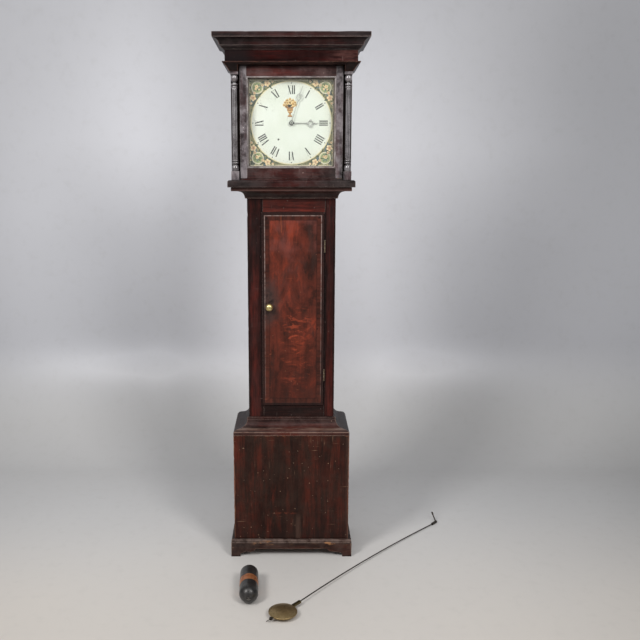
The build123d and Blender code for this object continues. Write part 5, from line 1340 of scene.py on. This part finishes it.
for i in range(9):
    t = (i - 4) / 4.0
    a = pi / 2 + t * 1.25
    ln_ = 30 - 8 * abs(t) ** 1.5
    leaf(VX + 1.2 * t, VZ - 4, ln_, 7.2, a - 0.06, 11 if i % 2 else 10, 1)
for i in range(8):
    t = (i - 3.5) / 3.5
    a = pi / 2 + t * 1.05
    ln_ = 22 - 5 * abs(t)
    leaf(VX + 1.0 * t, VZ - 3, ln_, 5.2, a - 0.05, 10 if i % 2 else 14, 2)
for i in range(7):
    t = (i - 3) / 3.0
    a = pi / 2 + t * 1.2
    rr = 24 - 5 * abs(t)
    rose(VX + rr * cos(a), VZ - 3 + rr * sin(a), 4.6, 14, 10, 7, 3, i * 0.7)
rose(VX, VZ + 11, 6.0, 14, 10, 11, 6, 0.3)
vshape([(9.5, -5), (10.5, -3.2), (8.6, -4.4), (9.2, -10), (6.6, -16.5), (2.6, -20.5), (2.2, -23.5), (4.2, -25.2), (6.6, -27.4), (6.6, -29.2)], 10, 4)
vshape([(10.8, -4.4), (10.8, -2.2)], 11, 5)
vshape([(9.0, -11.8), (8.6, -9.8)], 11, 5)
vshape([(2.8, -22.4), (2.8, -21.0)], 11, 5)
vshape([(7.0, -30.4), (7.0, -28.6)], 11, 5)
for i in range(5):
    x = (i - 2) * 3.2
    blob(VX + x, VZ - 14.2 + 0.35 * abs(i - 2) ** 2 * 0.4, 1.1, 1.5, 14, 6, 0, 0.08, 12, i)

GROW[:] = [0.0, 0.0, 1.0]

# chip and marks in the enamel
blob(-46.5, -57.5, 4.0, 3.4, 13, 1, 0.4, 0.5, 16, 4.4)
blob(-46.2, -58.0, 2.7, 2.2, 0, 2, 0.2, 0.5, 12, 1.4)
for i, (x, z, r_) in enumerate(((-95, -36, 0.8), (64, 97, 0.7), (23, -88, 0.8), (-112, 77, 0.7), (88, -110, 0.9), (-30, 103, 0.6))):
    blob(x, z, r_, r_ * 0.7, 13, 1, i, 0.4, 10, i)
finish_piece(dial_bm, "dial_painting", "case", (), PAINTS, weighted=False)

# ------------------------------------------------------------------ hands
for node, body in (("hour_hand", "hour_work"), ("minute_hand", "minute_work")):
    bm = from_node(node)
    es = sharp_edges(bm, 50)
    bmesh.ops.bevel(bm, geom=es, offset=0.00022, offset_type="OFFSET", segments=2, profile=0.6, affect="EDGES", clamp_overlap=True)
    bm.normal_update()
    finish_piece(bm, node + "_blade", body, (node,), [steel_hand if node == "hour_hand" else steel_minute, hand_dark if node == "hour_hand" else steel_minute],
                 lambda c, n: 0 if n.y < -0.7 else 1, smooth=35)
assign("hand_collet", steel_dark)

# --------------------------------------------------------- brass and steel
for n in ("trunk_hinge_plates", "trunk_door_hinge_leaves"):
    assign(n, brass_hinge)
for n in ("hood_door_pivots", "front_plate", "back_plate", "plate_pillars", "dial_feet", "back_cock", "cannon_wheel", "hour_wheel", "motion_drive_wheel",
          "great_wheel", "second_wheel", "escape_wheel", "strike_great_wheel", "hoop_wheel", "warning_wheel", "fly", "count_wheel"):
    assign(n, brass_old)
assign("bell", bell_metal)
for n in ("latch_tongue", "motion_stud", "bell_stand", "anchor_and_crutch", "hammer", "weight_eye"):
    assign(n, steel_old)
for n in ("pendulum_rod", "suspension_spring", "rating_nut"):
    assign(n, steel_rod)
assign("bob_ferrule", brass_ferrule)

# knob: turned ball
knob = [(3.0, -33.0), (3.0, -0.2), (10.2, 0.0), (10.5, 0.4), (10.5, 1.2), (10.1, 1.7), (8.2, 2.3), (6.8, 3.0), (5.7, 4.0), (5.2, 5.2), (5.3, 6.6), (6.2, 8.0), (8.0, 9.2)]
for i in range(1, 26):
    a = radians(-44 + 134 * i / 25.0)
    knob.append((max(14.6 * cos(a), 0.02), 19.4 + 12.8 * sin(a)))
bm = bmesh.new()
lathe_mesh(bm, [(r, -h) for r, h in knob], (-83.4, -74.1, 986.0), axis="Y", n=64)
finish_piece(bm, "knob_ball", "door_latch", ("door_knob",), [brass_bright], smooth=50, weighted=False)


# ----------------------------------------------------------------- weight
def weight_frame():
    """Transform from the casting's own axis (Z up its length, towards the viewer) to where it lies."""
    return Matrix.Translation((-0.152, -0.4095, 0.0339)) @ Matrix.Rotation(radians(2.2), 4, "Z") @ Matrix.Rotation(radians(90), 4, "X")


def arc3(a, b, c, n):
    """Points of the arc through a, b, c, without its first point."""
    d = 2 * (a[0] * (b[1] - c[1]) + b[0] * (c[1] - a[1]) + c[0] * (a[1] - b[1]))
    sa, sb, sc_ = a[0] ** 2 + a[1] ** 2, b[0] ** 2 + b[1] ** 2, c[0] ** 2 + c[1] ** 2
    ox = (sa * (b[1] - c[1]) + sb * (c[1] - a[1]) + sc_ * (a[1] - b[1])) / d
    oz = (sa * (c[0] - b[0]) + sb * (a[0] - c[0]) + sc_ * (b[0] - a[0])) / d
    r_ = hypot(a[0] - ox, a[1] - oz)
    t0, t1 = atan2(a[1] - oz, a[0] - ox), atan2(c[1] - oz, c[0] - ox)
    if t1 - t0 > pi:
        t1 -= 2 * pi
    if t0 - t1 > pi:
        t1 += 2 * pi
    return [(ox + r_ * cos(t0 + (t1 - t0) * i / n), oz + r_ * sin(t0 + (t1 - t0) * i / n)) for i in range(1, n + 1)]


hl, WR = 95.0, 33.5
prof = [(0.4, -hl), (4.0, -hl), (8.0, -hl), (12.0, -hl)]
prof += arc3((12.0, -hl), (26.4, -hl + 6.3), (WR, -hl + 22), 14)
for i in range(1, 48):
    prof.append((WR, -hl + 22 + (2 * hl - 52) * i / 48.0))
prof += [(WR, hl - 30)] + arc3((WR, hl - 30), (23.6, hl - 8.9), (0.001, hl), 18)[:-1]
prof += [(3.4, hl - 0.15), (2.9, hl - 1.2), (2.6, hl - 3.0), (0.3, hl - 3.2)]
bm = bmesh.new()
lathe_mesh(bm, prof, (0, 0, 0), n=96)
bm.normal_update()
for v in bm.verts:
    q = v.co * 38
    d = 0.00030 * noise.fractal(q, 0.7, 2.1, 4) + 0.00012 * noise.noise(v.co * 300)
    rr = hypot(v.co.x, v.co.y)
    if -0.0175 < v.co.z < 0.0225 and rr > 0.03:
        d -= 0.0012
    # an old cast flaw on the upper side of the near end, and a shallow groove above it
    fx, fz = v.co.x - 0.004, v.co.z - 0.066
    if v.co.y > 0:
        d -= 0.0016 * max(0.0, 1.0 - (fx * fx / 0.0045 ** 2 + fz * fz / 0.0040 ** 2))
        gr = abs(hypot(fx * 0.75, fz + 0.004) - 0.019)
        if fz < 0.002:
            d -= 0.0006 * max(0.0, 1.0 - gr / 0.0022)
    v.co = v.co + v.normal * (d - 0.00012)
bmesh.ops.transform(bm, matrix=weight_frame(), verts=bm.verts)
finish_piece(bm, "weight_casting", "weight", ("weight_body",), [iron_mat], smooth=60, weighted=False)

bm = bmesh.new()
rows = 16
rings_o, rings_i = [], []
for j in range(rows + 1):
    zz = -15.5 + 36.0 * j / rows
    ro, ri = [], []
    for i in range(128):
        a = 2 * pi * i / 128
        e = 0.0
        if j in (0, rows):
            e = 1.6 * noise.noise(Vector((cos(a) * 3, sin(a) * 3, j))) + 0.5 * noise.noise(Vector((cos(a) * 11, sin(a) * 11, j)))
            e = min(e, 0.0) if j == rows else max(e, 0.0)
        w = 0.30 * noise.noise(Vector((cos(a) * 4, sin(a) * 4, zz * 0.12))) + 0.12 * noise.noise(Vector((cos(a) * 14, sin(a) * 14, zz * 0.4)))
        r_o = WR + 0.12 + w - (0.30 if j in (0, rows) else 0.0)
        r_o = min(r_o, WR + 0.33)
        ro.append(bm.verts.new((r_o * cos(a) / 1000, r_o * sin(a) / 1000, (zz + e) / 1000)))
        ri.append(bm.verts.new(((WR - 0.8) * cos(a) / 1000, (WR - 0.8) * sin(a) / 1000, (zz + e) / 1000)))
    rings_o.append(ro)
    rings_i.append(ri)
for j in range(rows):
    for i in range(128):
        k = (i + 1) % 128
        bm.faces.new((rings_o[j][i], rings_o[j][k], rings_o[j + 1][k], rings_o[j + 1][i]))
        bm.faces.new((rings_i[j][k], rings_i[j][i], rings_i[j + 1][i], rings_i[j + 1][k]))
for j, flip in ((0, False), (rows, True)):
    for i in range(128):
        k = (i + 1) % 128
        q = (rings_o[j][i], rings_i[j][i], rings_i[j][k], rings_o[j][k])
        bm.faces.new(q if not flip else tuple(reversed(q)))
bmesh.ops.transform(bm, matrix=weight_frame(), verts=bm.verts)
finish_piece(bm, "weight_sleeve", "weight", ("weight_band",), [copper_mat], smooth=50, weighted=False)

# --------------------------------------------------------------- pendulum
bob = [(0.3, 13.1)]
for i in range(1, 15):
    r = 46.5 * i / 14.0
    bob.append((r, 13.1 - 10.6 * (r / 46.5) ** 2.1))
bob += [(47.2, 2.2), (47.8, 2.5), (48.6, 2.7), (49.2, 2.2), (49.5, 1.2), (49.6, 0.0), (49.5, -1.2), (48.8, -2.2), (47.0, -2.4)]
for i in range(13, 0, -1):
    r = 46.5 * i / 14.0
    bob.append((r, -12.9 + 10.4 * (r / 46.5) ** 2.1))
bob.append((0.3, -12.9))
bm = bmesh.new()
lathe_mesh(bm, list(reversed(bob)), (-28.9, -557.2, 14.5), n=96)
bm.normal_update()
for v in bm.verts:
    d = 0.00022 * noise.fractal(v.co * 45, 0.7, 2.1, 3)
    v.co = v.co + v.normal * (d - 0.0001)
finish_piece(bm, "bob_lens", "pendulum", ("pendulum_bob",), [brass_bob], smooth=50, weighted=False)

# a short end of twisted wire left on the rating nut
vs = [v.co for v in NODES["rating_nut"].data.vertices]
nc = sum(vs, Vector((0, 0, 0))) / len(vs)


def wire(name, body, pts, r, mat, n=10, sub=6):
    """Round wire through points in metres."""
    path = []
    for i in range(len(pts) - 1):
        p0, p1, p2, p3 = pts[max(i - 1, 0)], pts[i], pts[i + 1], pts[min(i + 2, len(pts) - 1)]
        for j in range(sub):
            t = j / sub
            t2, t3 = t * t, t * t * t
            path.append(0.5 * ((2 * p1) + (p2 - p0) * t + (2 * p0 - 5 * p1 + 4 * p2 - p3) * t2 + (3 * p1 - p0 - 3 * p2 + p3) * t3))
    path.append(pts[-1])
    bm = bmesh.new()
    rings = []
    for i, c in enumerate(path):
        d = (path[min(i + 1, len(path) - 1)] - path[max(i - 1, 0)]).normalized()
        a = d.cross(Vector((0, 0, 1)))
        a = a.normalized() if a.length > 1e-4 else Vector((1, 0, 0))
        b = d.cross(a).normalized()
        rr = r * (0.6 if i in (0, len(path) - 1) else 1.0)
        rings.append([bm.verts.new(c + a * (rr * cos(2 * pi * k / n)) + b * (rr * sin(2 * pi * k / n))) for k in range(n)])
    for p, q in zip(rings, rings[1:]):
        for k in range(n):
            l = (k + 1) % n
            bm.faces.new((p[k], p[l], q[l], q[k]))
    bm.faces.new(list(reversed(rings[0])))
    bm.faces.new(rings[-1])
    return finish_piece(bm, name, body, (), [mat], smooth=60, weighted=False)


wire("nut_wire", "rating_nut_body", [nc + Vector((0.004, 0.0005, 0.0046)), nc + Vector((0.0005, -0.0045, 0.0045)), nc + Vector((-0.0045, -0.0035, 0.0005)), nc + Vector((-0.0085, -0.0015, -0.0045)),
                                     nc + Vector((-0.0125, 0.0010, -0.0085)), nc + Vector((-0.0160, 0.0005, -0.0110))], 0.0011, steel_rod)

# ------------------------------------------------------------------ stage
# painted light and shade on the floor and backdrop: rows are (strength, x, u, width in x, width in u) of soft pools of
# light and shadow
LIGHT_AND_SHADE_BASE = -0.176
LIGHT_AND_SHADE_POOLS = (
    (0.39, -0.78, 2.89, 0.36, 0.98), (0.28, 0.14, 3.15, 0.56, 0.55), (0.11, -0.74, 1.65, 0.13, 0.29), (0.68, 1.58, 1.54, 0.86, 1.60),
    (0.37, -0.87, 1.71, 0.53, 0.13), (0.31, 0.88, 1.71, 0.43, 0.14), (-0.32, -0.10, 0.88, 0.69, 1.60), (-0.80, 0.96, 1.33, 0.72, 1.30),
    (-0.24, 1.64, 3.16, 0.50, 0.91), (0.80, 0.58, 2.00, 0.67, 1.27), (0.60, 0.01, -0.02, 1.52, 1.60), (0.50, -0.25, 2.07, 0.33, 0.75),
    (0.38, -1.37, 2.53, 0.59, 1.21), (-0.56, 1.98, 0.70, 0.62, 1.60),
)


def floor_material():
    m = Mat("studio_floor")
    p = m.pos()
    n1 = m.noise(p, 0.7, 3, 0.5)
    n2 = m.noise(p, 22, 5, 0.6)
    n3 = m.noise(p, 420, 2, 0.5)
    x, y, z = m.sep(p)
    near = m.ramp(y, 0.5, -0.9)
    col = m.mix(near, lin(186, 186, 186), lin(192, 186, 178))
    col = m.mix(m.ramp(n1, 0.3, 0.7, 0.0, 0.35), col, lin(178, 177, 176))
    col = m.mix(m.math("MULTIPLY", m.ramp(n2, 0.5, 0.75), 0.12), col, lin(160, 158, 154))
    # painted light and shade: soft pools of light and shadow lighten and darken the floor and backdrop; u runs along
    # the floor and up the wall
    u = m.math("ADD", y, z)
    total = None
    for k, cx_, cu, wx, wu in LIGHT_AND_SHADE_POOLS:
        ax_ = m.math("DIVIDE", m.math("SUBTRACT", x, cx_), wx)
        au = m.math("DIVIDE", m.math("SUBTRACT", u, cu), wu)
        q = m.math("ADD", m.math("MULTIPLY", ax_, ax_), m.math("MULTIPLY", au, au))
        g = m.math("MULTIPLY", m.math("EXPONENT", m.math("MULTIPLY", q, -1.0)), k)
        total = g if total is None else m.math("ADD", total, g)
    total = m.math("ADD", total, LIGHT_AND_SHADE_BASE)
    total = m.math("MAXIMUM", m.math("MINIMUM", total, 0.42), -0.60)
    gain = m.math("EXPONENT", total)
    wall = m.ramp(z, 0.10, 0.60)
    tint = m.mix(wall, (1.0, 1.0, 1.0, 1), (0.970, 0.985, 1.046, 1))
    tx, ty, tz = m.sep(tint)
    cr, cg, cb = m.sep(col)
    col = m.comb(m.math("MULTIPLY", m.math("MULTIPLY", cr, gain), tx), m.math("MULTIPLY", m.math("MULTIPLY", cg, gain), ty), m.math("MULTIPLY", m.math("MULTIPLY", cb, gain), tz))
    m.set(Base_Color=col, Roughness=m.math("MULTIPLY_ADD", n2, 0.15, 0.48), Normal=m.bump(n3, 0.0002, 0.3))
    m.b.inputs["Specular IOR Level"].default_value = 0.3
    t = m.t.nodes.new("ShaderNodeBsdfTransparent")
    mixer = m.t.nodes.new("ShaderNodeMixShader")
    m.t.links.new(m.geo().outputs["Backfacing"], mixer.inputs[0])
    m.t.links.new(m.b.outputs[0], mixer.inputs[1])
    m.t.links.new(t.outputs[0], mixer.inputs[2])
    m.t.links.new(mixer.outputs[0], m.out.inputs[0])
    return m.m


stage_mat = floor_material()
bm = bmesh.new()
path = [(-9.0, 0.0), (-3.0, 0.0), (0.0, 0.0), (0.75, 0.0)]
rc = 0.55
for i in range(1, 25):
    a = radians(90.0 * i / 24)
    path.append((0.75 + rc * sin(a), rc - rc * cos(a)))
path += [(1.30, 2.0), (1.30, 7.0)]
cols = 12
grid = []
for y, z in path:
    grid.append([bm.verts.new((-9 + 18.0 * i / cols, y, z)) for i in range(cols + 1)])
for a, b in zip(grid, grid[1:]):
    for i in range(cols):
        bm.faces.new((a[i], a[i + 1], b[i + 1], b[i]))
bm.normal_update()
me = bpy.data.meshes.new("studio_sweep")
for f in bm.faces:
    f.smooth = True
bm.to_mesh(me)
bm.free()
me.materials.append(stage_mat)
sweep = bpy.data.objects.new("studio_sweep", me)
scene.collection.objects.link(sweep)


def area(name, loc, target, size, size_y, power, color=(1, 1, 1)):
    d = bpy.data.lights.new(name, "AREA")
    d.shape = "RECTANGLE"
    d.size, d.size_y = size, size_y
    d.energy = power
    d.color = color
    o = bpy.data.objects.new(name, d)
    o.location = loc
    v = Vector(target) - Vector(loc)
    o.rotation_euler = v.to_track_quat("-Z", "Y").to_euler()
    scene.collection.objects.link(o)
    return o


area("softbox_left", (-2.45, -2.85, 3.3), (0, 0.1, 1.0), 1.0, 1.3, 102, (1.0, 0.985, 0.97))
area("softbox_right", (1.95, -3.20, 3.3), (0, 0.1, 1.0), 1.0, 1.3, 84, (1.0, 0.985, 0.97))
area("softbox_top", (0.0, -2.2, 4.6), (0, -0.2, 0.6), 3.0, 2.0, 36, (1.0, 1.0, 1.0))
world = bpy.data.worlds.new("studio")
world.use_nodes = True
world.node_tree.nodes["Background"].inputs[0].default_value = (0.80, 0.81, 0.84, 1)
world.node_tree.nodes["Background"].inputs[1].default_value = 0.30
scene.world = world
